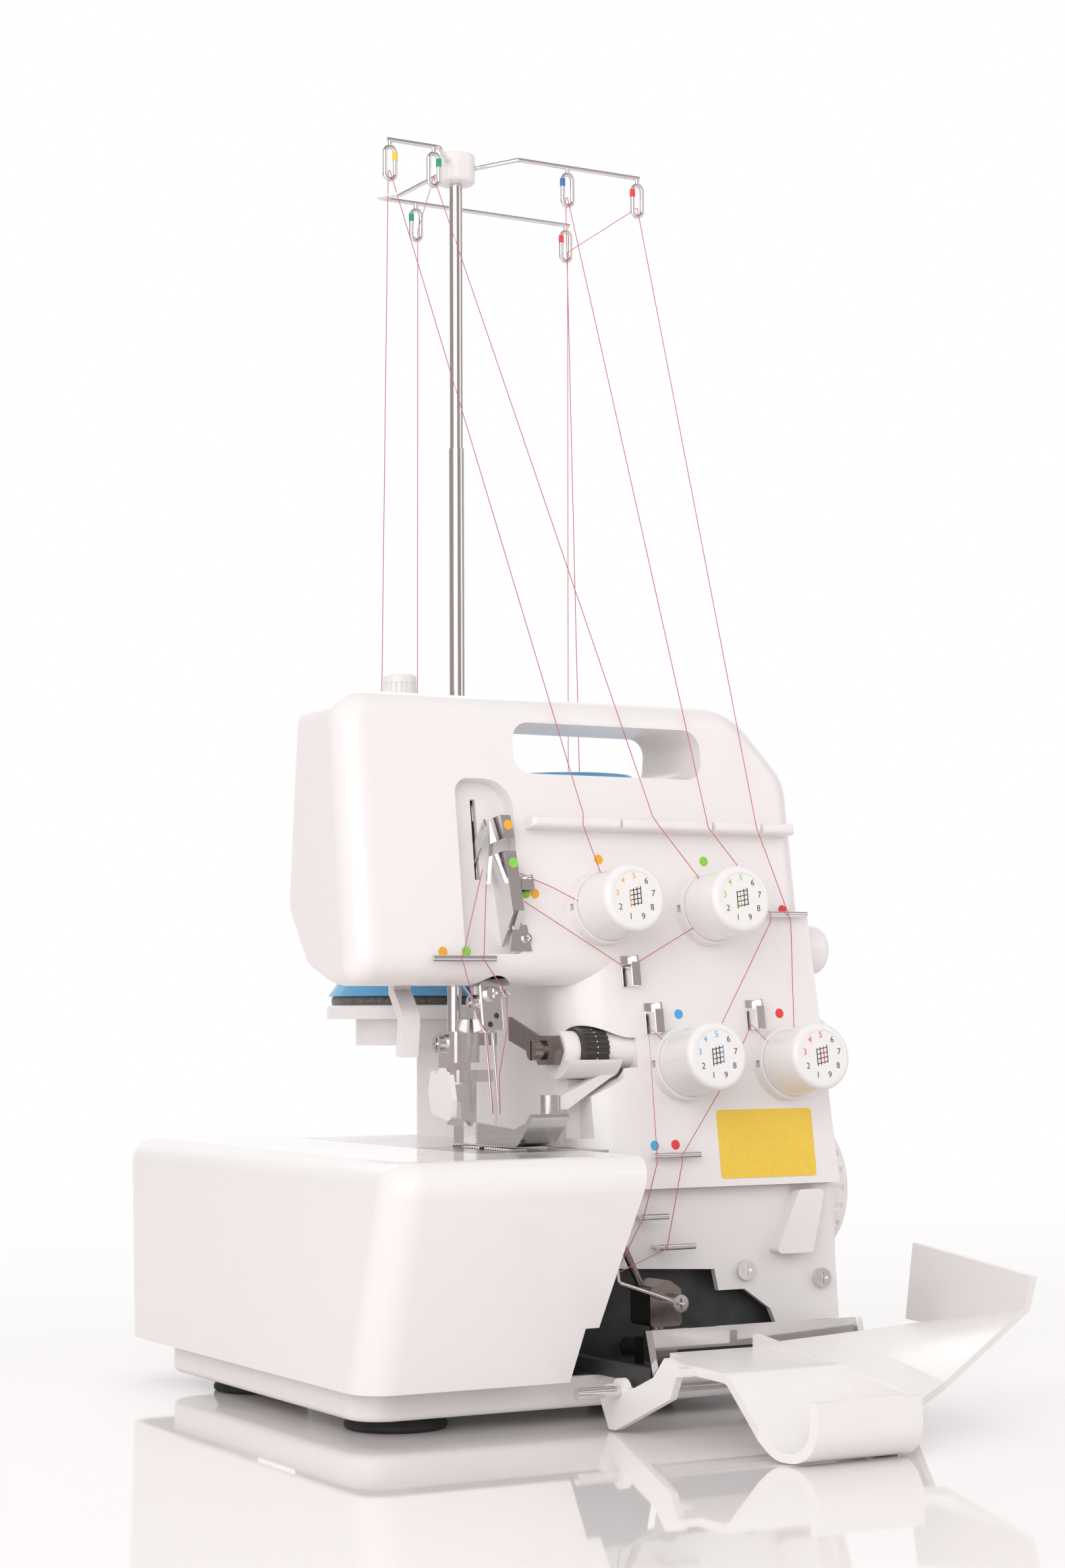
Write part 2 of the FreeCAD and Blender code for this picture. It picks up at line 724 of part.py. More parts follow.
def column_block(inset):
    """Column of the upper casing, with a large rounded corner on its left."""
    lean = inset / math.cos(PANEL_TILT)
    top = ARM_KNEE_Z
    back = COLUMN_BACK - inset
    right_top = SHOULDER_END + 1.0 - (top - ARM_BOTTOM) * COLUMN_TAPER
    profile = sharp([(COLUMN_LEFT + inset, COLUMN_BOTTOM), (COLUMN_LEFT + inset, top),
                     (right_top - inset, top), (COLUMN_RIGHT - inset, COLUMN_BOTTOM)])
    block = prism_y(profile, panel_y(0), back)
    side = sharp([(panel_y(0) + lean, 0), (panel_y(CASE_TOP) + lean, CASE_TOP), (back, CASE_TOP), (back, 0)])
    block = block.common(prism_x(side, COLUMN_LEFT - 1, COLUMN_RIGHT + 1))

    def front_left(edge):
        return all(abs(v.X - COLUMN_LEFT - inset) < 0.01 and abs(v.Y - panel_y(v.Z) - lean) < 0.01
                   for v in edge.Vertexes)

    return rounded(block, COLUMN_CORNER - inset, front_left)


def window(grow, y0, y1):
    corners = [(WINDOW_LEFT - grow, WINDOW_BOTTOM - grow), (WINDOW_RIGHT + grow, WINDOW_BOTTOM - grow),
               (WINDOW_RIGHT + grow, WINDOW_TOP + grow), (WINDOW_LEFT - grow, WINDOW_TOP + grow)]
    return prism_y([(x, z, WINDOW_CORNER + grow) for x, z in corners], y0, y1)


def pocket(grow):
    """Take-up pocket, drawn on the panel."""
    low = slope(POCKET_BOTTOM) - grow
    high = slope(POCKET_TOP) + grow
    corner = POCKET_CORNER + grow
    corners = [(POCKET_LEFT - grow, low, corner), (POCKET_RIGHT + grow, low, corner),
               (POCKET_RIGHT + grow, high, POCKET_ROUND + grow),
               (POCKET_LEFT - grow, high, POCKET_ROUND / 2 + grow)]
    return on_panel(prism_y(corners, -2.0 - grow, POCKET_DEPTH + grow))


def ledge():
    """Thread ledge with its notches, drawn on the panel."""
    low = slope(LEDGE_TOP - LEDGE_THICK)
    high = slope(LEDGE_TOP)
    bar = box(LEDGE_LEFT, LEDGE_RIGHT, -LEDGE_OUT, 1.0, low, high)
    bar = rounded(bar, 1.8, lambda e: e.BoundBox.YMax < -LEDGE_OUT + 0.01)
    notches = []
    for x in LEDGE_NOTCHES:
        notches.append(box(x, x + LEDGE_NOTCH, -LEDGE_OUT - 1, -LEDGE_OUT + 2.5, low - 1, high + 1))
    return on_panel(cut(bar, notches))


def casing_holes():
    """Everything that passes through the upper casing."""
    holes = [rod((NEEDLE_X, NEEDLE_Y, ARM_BOTTOM - 9), (NEEDLE_X, NEEDLE_Y, ARM_BOTTOM + 9), 9.0)]
    holes.append(rod((PRESSER_X, PRESSER_Y, ARM_BOTTOM - 9), (PRESSER_X, PRESSER_Y, ARM_BOTTOM + 9), 4.5))
    half = LIFTER_WIDTH / 2 + 2
    holes.append(box(LIFTER_X - half, LIFTER_X + half, LIFTER_Y - LIFTER_HOLE_FRONT,
                     LIFTER_Y + LIFTER_HOLE_BACK, ARM_BOTTOM - 1, LIFTER_Z))
    holes.append(rod(knife_axis(COLUMN_LEFT - 30), knife_axis(KNIFE_LUG_LEFT), KNIFE_PIN_RADIUS))
    holes.append(box(PULLEY_LEFT - 4, PULLEY_LEFT + PULLEY_WIDTH + 4, CASE_SPLIT, CASE_BACK + 1,
                     COLUMN_BOTTOM - 1, COLUMN_BOTTOM + BELT_NOTCH))
    for x, z in DIAL_PLACES:
        holes.append(on_panel(rod((x, -1, slope(z)), (x, WALL + 1, slope(z)), POST_RADIUS)))
    slot_low = slope(SLOT_BOTTOM)
    slot_high = slope(SLOT_TOP)
    holes.append(on_panel(box(SLOT_LEFT, SLOT_LEFT + SLOT_WIDTH, 0, POCKET_DEPTH + 2 * WALL,
                              slot_low, slot_high)))
    holes.append(rod(shaft_axis(COLUMN_RIGHT - 8), shaft_axis(COLUMN_RIGHT + 5), SHAFT_RADIUS + 2))
    for y, z in SIDE_DIALS.values():
        holes.append(rod((COLUMN_RIGHT - 12, y, z), (COLUMN_RIGHT + 5, y, z), POST_RADIUS))
    return holes


def knife_scoop(grow):
    """Room for the knife knob, wider below it for the saddle of the knife arm."""
    left = COLUMN_LEFT - 30
    right = SCOOP_RIGHT + grow
    wide = SCOOP_RADIUS + grow
    low = box(left - 1, right + 1, KNIFE_Y - wide - 1, KNIFE_Y + wide + 1,
              KNIFE_Z - wide - 1, KNIFE_Z - SADDLE_DROP + 2 + grow)
    knob_room = rod(knife_axis(left), knife_axis(right), KNIFE_KNOB_RADIUS + KNOB_ROOM + grow)
    return knob_room.fuse(rod(knife_axis(left), knife_axis(right), wide).common(low))


def knife_slot(grow):
    """Slot beside the bed through which the knife arm comes down."""
    left = COLUMN_LEFT - 5
    low = BED_TOP + WALL - grow
    arm_low = KNIFE_HOLDER[2] + 2
    rise = (knife_arm_high() - arm_low) / (SADDLE_RIGHT - KNIFE_ARM_END - 4.5)
    corner = arm_low + (KNIFE_SLOT_LOW_RIGHT - KNIFE_ARM_END - 4.5) * rise - 2
    side = sharp([(left, low), (KNIFE_SLOT_LOW_RIGHT + grow, low), (KNIFE_SLOT_LOW_RIGHT + grow, corner - grow),
                  (KNIFE_SLOT_RIGHT + grow, knife_arm_high() - 2 - grow), (KNIFE_SLOT_RIGHT + grow, KNIFE_Z),
                  (left, KNIFE_Z)])
    return prism_y(side, KNIFE_ARM_FRONT - KNIFE_SLOT_GAP - 9, KNIFE_ARM_BACK + KNIFE_SLOT_SWING + grow)


def casing():
    outer = fuse([upper_block(0.0), column_block(0.0)])
    room = fuse([upper_block(WALL), column_block(WALL)])
    room = cut(room, [window(WALL, panel_y(0), CASE_BACK + 5), pocket(POCKET_WALL), knife_scoop(WALL),
                      knife_slot(POCKET_WALL)])
    shell = cut(outer, [room, window(0.0, panel_y(0), CASE_BACK + 5), pocket(0.0), knife_scoop(0.0),
                        knife_slot(0.0)])
    sleeve = rod(knife_axis(KNIFE_SLEEVE_LEFT), knife_axis(KNIFE_SLEEVE_RIGHT), KNIFE_COLLAR_RADIUS)
    return cut(fuse([shell, ledge(), sleeve]), casing_holes())


def front_shell(case):
    keep = box(ARM_LEFT - 5, COLUMN_RIGHT + 5, -120, CASE_SPLIT, 0, CASE_TOP + 5)
    return case.common(keep)


def rear_shell(case):
    keep = box(ARM_LEFT - 5, COLUMN_RIGHT + 5, CASE_SPLIT, CASE_BACK + 5, 0, CASE_TOP + 5)
    return case.common(keep)


def lower_front_cover():
    plate = prism_y(sharp(LOWER_OUTLINE), LOWER_FRONT, LOWER_FRONT + LOWER_THICK)
    tab = prism_y([(x, z, 2.0) for x, z in COVER_TAB], LOWER_FRONT - COVER_TAB_OUT, LOWER_FRONT)
    holes = [rod((x, LOWER_FRONT - 1, z), (x, LOWER_FRONT + 5, z), SCREW_RADIUS) for x, z in SCREW_PLACES]
    return cut(fuse([plate, tab]), holes)


def cover_screws():
    screws = []
    for x, z in SCREW_PLACES:
        head = cross_head((x, LOWER_FRONT, z), (0, -1, 0), SCREW_HEAD_RADIUS, SCREW_HEAD)
        shank = rod((x, LOWER_FRONT, z), (x, LOWER_FRONT + SCREW_LENGTH, z), SCREW_RADIUS - RUN_GAP)
        screws.append(fuse([head, shank]))
    return group(screws)


def lower_housing():
    low = BASE_TOP + SEAT_GAP
    under_case = COLUMN_BOTTOM - SEAT_GAP
    bed = box(HOUSING_LEFT, HOUSING_RIGHT, HOUSING_FRONT, HOUSING_BACK, low, BED_TOP)
    tower = box(TOWER_LEFT, HOUSING_RIGHT, TOWER_FRONT, HOUSING_BACK, BED_TOP - 1, HOUSING_TOP)
    tower = rounded(tower, 6.0, lambda e: e.BoundBox.ZLength > 20)
    side = box(HOUSING_RIGHT - WALL, HOUSING_RIGHT, HOUSING_WALL_FRONT, HOUSING_FRONT + 1, low, under_case)
    bed_room = box(HOUSING_LEFT + WALL, HOUSING_RIGHT - WALL, HOUSING_FRONT - 1, HOUSING_BACK - WALL,
                   low - 1, BED_TOP - WALL)
    tower_room = box(TOWER_LEFT + WALL, HOUSING_RIGHT - WALL, TOWER_FRONT + WALL, HOUSING_BACK - WALL,
                     low, HOUSING_TOP - WALL)
    case_room = box(TOWER_LEFT, HOUSING_RIGHT + 1, HOUSING_FRONT - 1, TOWER_FRONT, under_case, BED_TOP + 1)
    shaft_hole = rod(shaft_axis(HOUSING_RIGHT - 5), shaft_axis(HOUSING_RIGHT + 5), SHAFT_RADIUS + 2)
    inlet_hole = box(HOUSING_RIGHT - 5, HOUSING_RIGHT + 5,
                     INLET_Y - INLET_WIDTH / 2, INLET_Y + INLET_WIDTH / 2,
                     INLET_Z - INLET_HEIGHT / 2, INLET_Z + INLET_HEIGHT / 2)
    switch_hole = box(HOUSING_RIGHT - 5, HOUSING_RIGHT + 5,
                      SWITCH_Y - SWITCH_WIDTH / 2, SWITCH_Y + SWITCH_WIDTH / 2,
                      INLET_Z - SWITCH_HEIGHT / 2, INLET_Z + SWITCH_HEIGHT / 2)
    shell = cut(fuse([bed, tower, side]),
                [bed_room, tower_room, case_room, shaft_hole, inlet_hole, switch_hole])
    return fuse([shell, switch_pin(SWITCH_PIN_RADIUS)])


def frame_body():
    """Cast frame before its bores: floor slab, walls, beam over the bed and bar lugs."""
    floor = BASE_BOTTOM + WALL
    slab_top = floor + SLAB_THICK
    web_right = WEB_RIGHT + WEB_THICK
    under_plate = BED_TOP - PLATE_THICK
    slab = box(FRAME_LEFT, web_right + 10, SLAB_FRONT, HOUSING_BACK - 2 * WALL, floor, slab_top)
    wall = box(FRAME_LEFT, web_right, FRAME_WALL_FRONT, FRAME_WALL_BACK, slab_top, FRAME_WALL_TOP)
    post = box(FRAME_LEFT, FRAME_LEFT + 5, FRAME_WALL_FRONT, HOUSING_FRONT - 2, slab_top, under_plate)
    shelf = box(FRAME_LEFT, COLUMN_LEFT - 8, FRAME_WALL_FRONT, FRAME_WALL_BACK + 6,
                FRAME_WALL_TOP - 8, under_plate)
    feed_room = box(DOG_LEFT - 1, DOG_LEFT + DOG_WIDTH + 1, SLAB_FRONT - 9, HOUSING_FRONT,
                    FEED_BAR_TOP, BED_TOP)
    feed_bar = box(DOG_LEFT, DOG_LEFT + DOG_WIDTH, DOG_DIFF_Y - 1, HOUSING_FRONT - 3,
                   FEED_BAR_TOP - 5, FEED_BAR_TOP)
    needle_room = box(NEEDLE_X - 6, NEEDLE_X + 6, FRAME_WALL_FRONT - 1, FRAME_WALL_BACK + 7,
                      FRAME_WALL_TOP - 9, BED_TOP)
    pieces = [slab, wall.cut(needle_room), post, cut(shelf, [feed_room, needle_room]), feed_bar]
    side = sharp([(FRAME_WALL_BACK, slab_top), (FRAME_WALL_BACK, WEB_LEAN_Z), (WEB_TOP_FRONT, BEAM_TOP),
                  (WEB_BACK, BEAM_TOP), (WEB_BACK, slab_top)])
    for x in (WEB_LEFT, WEB_RIGHT):
        pieces.append(prism_x(side, x, x + WEB_THICK))
    beam = prism_x(sharp([(BEAM_FRONT, BEAM_BOTTOM), (BEAM_SLANT_Y, BEAM_BOTTOM), (BEAM_BACK, BEAM_SLANT_Z),
                          (BEAM_BACK, BEAM_TOP), (BEAM_FRONT, BEAM_TOP)]), BEAM_LEFT, web_right)
    half = LIFTER_WIDTH / 2 + FREE_GAP
    reach = LIFTER_HUB_RADIUS + 2
    lifter_room = box(LIFTER_X - half, LIFTER_X + half, BEAM_FRONT - 1, BEAM_BACK + 1,
                      BEAM_BOTTOM - 1, LIFTER_Z + reach)
    lifter_pin = rod((LIFTER_X - reach, LIFTER_Y, LIFTER_Z), (LIFTER_X + reach, LIFTER_Y, LIFTER_Z),
                     LIFTER_PIN_RADIUS)
    pieces += [beam.cut(lifter_room), lifter_pin]
    lug_low = ARM_BOTTOM + WALL + 1.5
    lug_back = ARM_LOW_BACK - 1
    underside = (ARM_SLANT_Z - ARM_BOTTOM) / (ARM_SLANT_Y - ARM_LOW_BACK)
    lug_rise = lug_low + (BEAM_FRONT + 1 - lug_back) * underside
    lug_side = sharp([(LUG_FRONT_LOW, lug_low), (lug_back, lug_low), (BEAM_FRONT + 1, lug_rise),
                      (BEAM_FRONT + 1, lug_rise + 2 * LUG_THICK), (lug_back, lug_low + LUG_THICK),
                      (LUG_FRONT_LOW, lug_low + LUG_THICK)])
    pieces.append(prism_x(lug_side, LUG_LEFT, LUG_RIGHT))
    pieces.append(box(LUG_LEFT, LUG_RIGHT, LUG_FRONT_HIGH, BEAM_FRONT, BEAM_TOP - 8, BEAM_TOP))
    take_up_x = TAKEUP_X + TAKEUP_SHEET + SEAT_GAP
    pieces.append(box(take_up_x, take_up_x + 6, TAKEUP_Y - 3, BEAM_FRONT + 1, TAKEUP_Z - 4, TAKEUP_Z + 4))
    pieces.append(rod((TAKEUP_X - 1, TAKEUP_Y, TAKEUP_Z), (take_up_x + 1, TAKEUP_Y, TAKEUP_Z), TAKEUP_PIN))
    lug_right = KNIFE_LUG_LEFT + WEB_THICK
    lug_half = KNIFE_PIN_RADIUS + LUG_WALL
    pieces.append(box(KNIFE_LUG_LEFT, lug_right, KNIFE_Y - lug_half, KNIFE_Y + lug_half,
                      KNIFE_Z - lug_half, KNIFE_Z + lug_half))
    pieces.append(box(KNIFE_LUG_LEFT, lug_right, FRAME_WALL_FRONT, KNIFE_Y + lug_half,
                      FRAME_WALL_TOP - 1, KNIFE_Z - lug_half + 1))
    for x in EAR_PLACES:
        pieces += hinge_ear(x)
    return fuse(pieces)


def hinge_ear(x):
    """Arm from the floor slab over the base rim to the hinge pin."""
    top = BASE_TOP + 6
    arm = box(x, x + EAR_WIDTH, HINGE_Y, SLAB_FRONT + 1, BASE_TOP + FREE_GAP, top)
    leg = box(x, x + EAR_WIDTH, SLAB_FRONT, SLAB_FRONT + 8, BASE_BOTTOM + WALL, top)
    eye_ring = rod((x, HINGE_Y, HINGE_Z), (x + EAR_WIDTH, HINGE_Y, HINGE_Z), EAR_RADIUS)
    neck = box(x, x + EAR_WIDTH, HINGE_Y - 4, HINGE_Y + 4, HINGE_Z, top)
    return [arm, leg, eye_ring, neck]


def frame_casting():
    web_right = WEB_RIGHT + WEB_THICK
    bores = [rod(shaft_axis(WEB_LEFT - 1), shaft_axis(web_right + 1), BUSH_RADIUS)]
    bores.append(hinge_rod(HINGE_LEFT, HINGE_RIGHT, HINGE_PIN_RADIUS + RUN_GAP))
    bores.append(on_needle(rod((0, 0, 0), (0, 0, NEEDLE_BAR_TOP), NEEDLE_BAR_RADIUS + RUN_GAP)))
    bores.append(rod((PRESSER_X, PRESSER_Y, HOLDER_TOP), (PRESSER_X, PRESSER_Y, PRESSER_TOP),
                     PRESSER_RADIUS + RUN_GAP))
    for x, z in (LOOPER_PIVOT, UPPER_PIVOT):
        bores.append(rod((x, FRAME_WALL_FRONT - 1, z), (x, FRAME_WALL_BACK + 8, z),
                         LOOPER_SHAFT_RADIUS + RUN_GAP))
    bores.append(rod(knife_axis(WEB_LEFT - 1), knife_axis(SCOOP_RIGHT + WALL + SEAT_GAP),
                     SCOOP_RADIUS + WALL + SEAT_GAP))
    bores.append(rod(knife_axis(WEB_LEFT - 1), knife_axis(KNIFE_LUG_LEFT), KNIFE_COLLAR_RADIUS + SEAT_GAP))
    bores.append(rod(knife_axis(KNIFE_LUG_LEFT - 1), knife_axis(KNIFE_PIN_RIGHT + 1), KNIFE_PIN_RADIUS))
    return cut(frame_body(), bores)


def take_up_lever():
    right = TAKEUP_X + TAKEUP_SHEET
    tip_y, tip_z = TAKEUP_TIP
    eye_y, eye_z = TAKEUP_EYE
    hub = rod((TAKEUP_X, TAKEUP_Y, TAKEUP_Z), (right, TAKEUP_Y, TAKEUP_Z), TAKEUP_HUB)
    arm = prism_x(sharp([(TAKEUP_Y + 1, TAKEUP_Z + 3), (tip_y + 6, tip_z - 7), (tip_y, tip_z),
                         (tip_y - TAKEUP_TIP_WIDTH, tip_z - 3), (tip_y + 3, tip_z - 12),
                         (TAKEUP_Y - 2, TAKEUP_Z - 2)]), TAKEUP_X, right)
    bore = rod((TAKEUP_X - 2, TAKEUP_Y, TAKEUP_Z), (right + 1, TAKEUP_Y, TAKEUP_Z), TAKEUP_PIN + RUN_GAP)
    thread_eye = rod((TAKEUP_X - 1, eye_y, eye_z), (right + 1, eye_y, eye_z), TAKEUP_EYE_RADIUS)
    return cut(fuse([hub, arm]), [bore, thread_eye])


def guard_sheet(points, y0, y1):
    """Flat piece of a guard, drawn on the panel through (x, z) corners."""
    return prism_y(sharp([(x, slope(z)) for x, z in points]), y0, y1)


def folded_guard(guard, low):
    """Leaning front strip of a guard with its left flange down to the pocket floor, as two pieces."""
    x_top, x_bottom, width, top, bottom = guard
    strip = [(x_top, top), (x_top + width, top), (x_bottom + width, bottom), (x_bottom, bottom)]
    x_low = x_bottom + (x_bottom - x_top) * (bottom - low) / (top - bottom)
    flange = [(x_top, top), (x_top + GUARD_SHEET, top), (x_low + GUARD_SHEET, low), (x_low, low)]
    return [guard_sheet(strip, -GUARD_OUT - GUARD_SHEET, -GUARD_OUT),
            guard_sheet(flange, -GUARD_OUT - GUARD_SHEET, POCKET_DEPTH)]


def take_up_cover_upper():
    x_top, x_bottom, width, top, bottom = UPPER_GUARD
    tip_x, tip_z = FINGER_TIP
    finger = [(x_top, top), (x_bottom, bottom), (tip_x + FINGER_WIDTH, tip_z), (tip_x, tip_z),
              (x_bottom - FINGER_WIDTH, bottom)]
    pieces = folded_guard(UPPER_GUARD, bottom)
    pieces.append(guard_sheet(finger, FINGER_DEPTH, FINGER_DEPTH + GUARD_SHEET))
    return on_panel(fuse(pieces))


def take_up_cover_lower():
    x_top, x_bottom, width, top, bottom = LOWER_GUARD
    strip, flange = folded_guard(LOWER_GUARD, GUARD_LOW)
    wedge = prism_x(sharp([(-GUARD_OUT - 2, slope(bottom)), (POCKET_DEPTH + 1, slope(GUARD_LOW)),
                           (-GUARD_OUT - 2, slope(GUARD_LOW) - 1)]), x_top - 9, x_bottom + 9)
    foot = guard_sheet(GUARD_FOOT, -GUARD_SHEET, 0.0)
    foot_top = slope(GUARD_FOOT[2][1])
    tongue = prism_x(sharp([(-GUARD_OUT - GUARD_SHEET, slope(bottom)), (-GUARD_OUT, slope(bottom)),
                            (0.0, foot_top), (0.0, foot_top - 2), (-GUARD_SHEET, foot_top - 2)]),
                     GUARD_FOOT[3][0], x_bottom + width)
    screw_x, screw_z = GUARD_SCREW
    head = cross_head((screw_x, -GUARD_SHEET, slope(screw_z)), (0, -1, 0), GUARD_SCREW_RADIUS, 1.0)
    guard = fuse([strip, flange.cut(wedge), foot, tongue])
    return group([on_panel(guard), on_panel(head), on_panel(thread_hook())])


def thread_hook():
    """Small bent hook beside the pocket, drawn on the panel."""
    x0, x1, z0, z1 = HOOK
    low = slope(z0)
    high = slope(z1)
    plate = box(POCKET_RIGHT + 1, x1 + 2, -GUARD_SHEET, 0.0, low, high)
    side = box(x1 - GUARD_SHEET, x1, -HOOK_OUT, 0.0, low, high)
    lip = box(x0, x1, -HOOK_OUT - GUARD_SHEET, -HOOK_OUT, low, high - 2)
    return fuse([plate, side, lip])


def thread_clips():
    clips = []
    for x, z in CLIP_PLACES:
        low = slope(z) - CLIP_HEIGHT / 2
        high = low + CLIP_HEIGHT
        back = box(x, x + CLIP_WIDTH, -CLIP_SHEET, 0, low, high)
        side = box(x + CLIP_WIDTH - CLIP_SHEET, x + CLIP_WIDTH, -CLIP_DEPTH, 0, low, high)
        lip = box(x + CLIP_WIDTH * 0.4, x + CLIP_WIDTH, -CLIP_DEPTH - CLIP_SHEET, -CLIP_DEPTH, low, high - 3)
        clips.append(on_panel(fuse([back, side, lip])))
    return group(clips)


def thread_guide_bars():
    bars = []
    for x0, x1, z in GUIDE_BARS:
        s = slope(z)
        bar = rod((x0, -GUIDE_BAR_OUT, s), (x1, -GUIDE_BAR_OUT, s), GUIDE_BAR_RADIUS)
        middle = (x0 + x1) / 2
        foot = box(middle - GUIDE_FOOT, middle + GUIDE_FOOT, -GUIDE_BAR_OUT, 0, s - 0.6, s + 0.6)
        bars.append(on_panel(fuse([bar, foot])))
    for x0, x1, z in LOWER_PINS:
        y = LOWER_FRONT - LOWER_PIN_OUT
        bar = rod((x0, y, z), (x1, y, z), GUIDE_BAR_RADIUS)
        foot = box(x0 + 1, x0 + GUIDE_FOOT, y, LOWER_FRONT, z - 0.6, z + 0.6)
        bars.append(fuse([bar, foot]))
    return group(bars)


def tension_dial(place):
    x, z = place
    s = slope(z)
    body = rod((x, -DIAL_LENGTH, s), (x, -COLLAR_LENGTH - FREE_GAP, s), DIAL_RADIUS)
    body = rounded(body, DIAL_EDGE, lambda e: e.BoundBox.YMax < -DIAL_LENGTH + 0.01)
    face = rod((x, -DIAL_LENGTH - 1, s), (x, -DIAL_LENGTH + 0.3, s), DIAL_FACE_RADIUS)
    hollow = rod((x, -COLLAR_LENGTH - FREE_GAP - 9, s), (x, 0, s), DIAL_RADIUS - WALL)
    bore = rod((x, -DIAL_LENGTH + 5, s), (x, 0, s), POST_RADIUS + RUN_GAP)
    return on_panel(cut(body, [face, hollow, bore]))


def tension_collars():
    collars = []
    for x, z in DIAL_PLACES:
        s = slope(z)
        collar = ring((x, -COLLAR_LENGTH, s), (x, 0, s), COLLAR_RADIUS, COLLAR_RADIUS - WALL)
        slit = box(x - COLLAR_RADIUS - 1, x - COLLAR_RADIUS + 6, -COLLAR_LENGTH + 1.5, -1.5,
                   s - COLLAR_SLIT / 2, s + COLLAR_SLIT / 2)
        collars.append(on_panel(collar.cut(slit)))
    return group(collars)


def tension_posts():
    posts = []
    for x, z in DIAL_PLACES:
        s = slope(z)
        posts.append(on_panel(rod((x, -DIAL_LENGTH + 6, s), (x, WALL + 4, s), POST_RADIUS)))
    return group(posts)


def needle_bar():
    return on_needle(rod((0, 0, NEEDLE_BAR_BOTTOM), (0, 0, NEEDLE_BAR_TOP), NEEDLE_BAR_RADIUS))


def needle_clamp():
    half = CLAMP_WIDTH / 2
    block = box(-half, half, -CLAMP_DEPTH / 2, CLAMP_DEPTH / 2, CLAMP_BOTTOM, CLAMP_TOP)
    block = rounded(block, 1.2, lambda e: e.BoundBox.ZLength > 5)
    holes = [rod((0, 0, NEEDLE_BAR_BOTTOM), (0, 0, CLAMP_TOP + 1), NEEDLE_BAR_RADIUS)]
    for side in (-1, 1):
        x = side * NEEDLE_PITCH / 2
        holes.append(rod((x, 0, CLAMP_BOTTOM - 1), (x, 0, NEEDLE_BAR_BOTTOM), NEEDLE_RADIUS))
        z = CLAMP_BOTTOM + 4 + side * 1.8
        holes.append(rod((x, -CLAMP_DEPTH, z), (x, -NEEDLE_RADIUS, z), 1.2))
    return group([on_needle(cut(block, holes))] + clamp_screws())


def clamp_screws():
    front = cross_head((0, -CLAMP_DEPTH / 2, CLAMP_TOP - 6), (0, -1, 0), 3.2, 2.0)
    side = cross_head((-CLAMP_WIDTH / 2, 0, CLAMP_TOP - 9), (-1, 0, 0), 3.4, 2.6)
    return [on_needle(front), on_needle(side)]


def needles():
    pair = []
    for side in (-1, 1):
        x = side * NEEDLE_PITCH / 2
        shank = rod((x, 0, CLAMP_BOTTOM - 6), (x, 0, NEEDLE_BAR_BOTTOM), NEEDLE_RADIUS)
        blade = rod((x, 0, NEEDLE_TIP + 5), (x, 0, CLAMP_BOTTOM - 6), NEEDLE_RADIUS * 0.6)
        tip = cone((x, 0, NEEDLE_TIP + 5), (x, 0, NEEDLE_TIP), NEEDLE_RADIUS * 0.6, 0.1)
        pair.append(on_needle(fuse([shank, blade, tip])))
    return group(pair)


def presser_bar():
    return rod((PRESSER_X, PRESSER_Y, PRESSER_BOTTOM), (PRESSER_X, PRESSER_Y, PRESSER_TOP), PRESSER_RADIUS)


def presser_holder():
    half = HOLDER_WIDTH / 2
    front = PRESSER_Y - half
    upper = box(PRESSER_X - half, PRESSER_X + half, front, PRESSER_Y + half, PRESSER_BOTTOM - 4, HOLDER_TOP)
    neck = box(PRESSER_X - 1, PRESSER_X + half, PRESSER_Y - HOLDER_DEPTH, PRESSER_Y + half,
               HOLDER_BOTTOM, PRESSER_BOTTOM - 3)
    plate = box(PRESSER_X - 2, PRESSER_X + half + 3.5, front - HOLDER_SHEET, front,
                HOLDER_TOP - 13, HOLDER_TOP + 5)
    spring = box(PRESSER_X - 1, PRESSER_X + half + 10, front - HOLDER_SHEET, front + 1,
                 PRESSER_BOTTOM - 3, PRESSER_BOTTOM + 2)
    bore = rod((PRESSER_X, PRESSER_Y, PRESSER_BOTTOM), (PRESSER_X, PRESSER_Y, HOLDER_TOP + 1), PRESSER_RADIUS)
    body = fuse([upper, neck, plate, spring]).cut(bore)
    big = cross_head((PRESSER_X - half, PRESSER_Y, HOLDER_TOP - 5), (-1, 0, 0), 4.0, 3.5)
    small = cross_head((PRESSER_X - half, PRESSER_Y - 2, PRESSER_BOTTOM), (-1, 0, 0), 2.6, 3.0)
    return group([body, big, small])


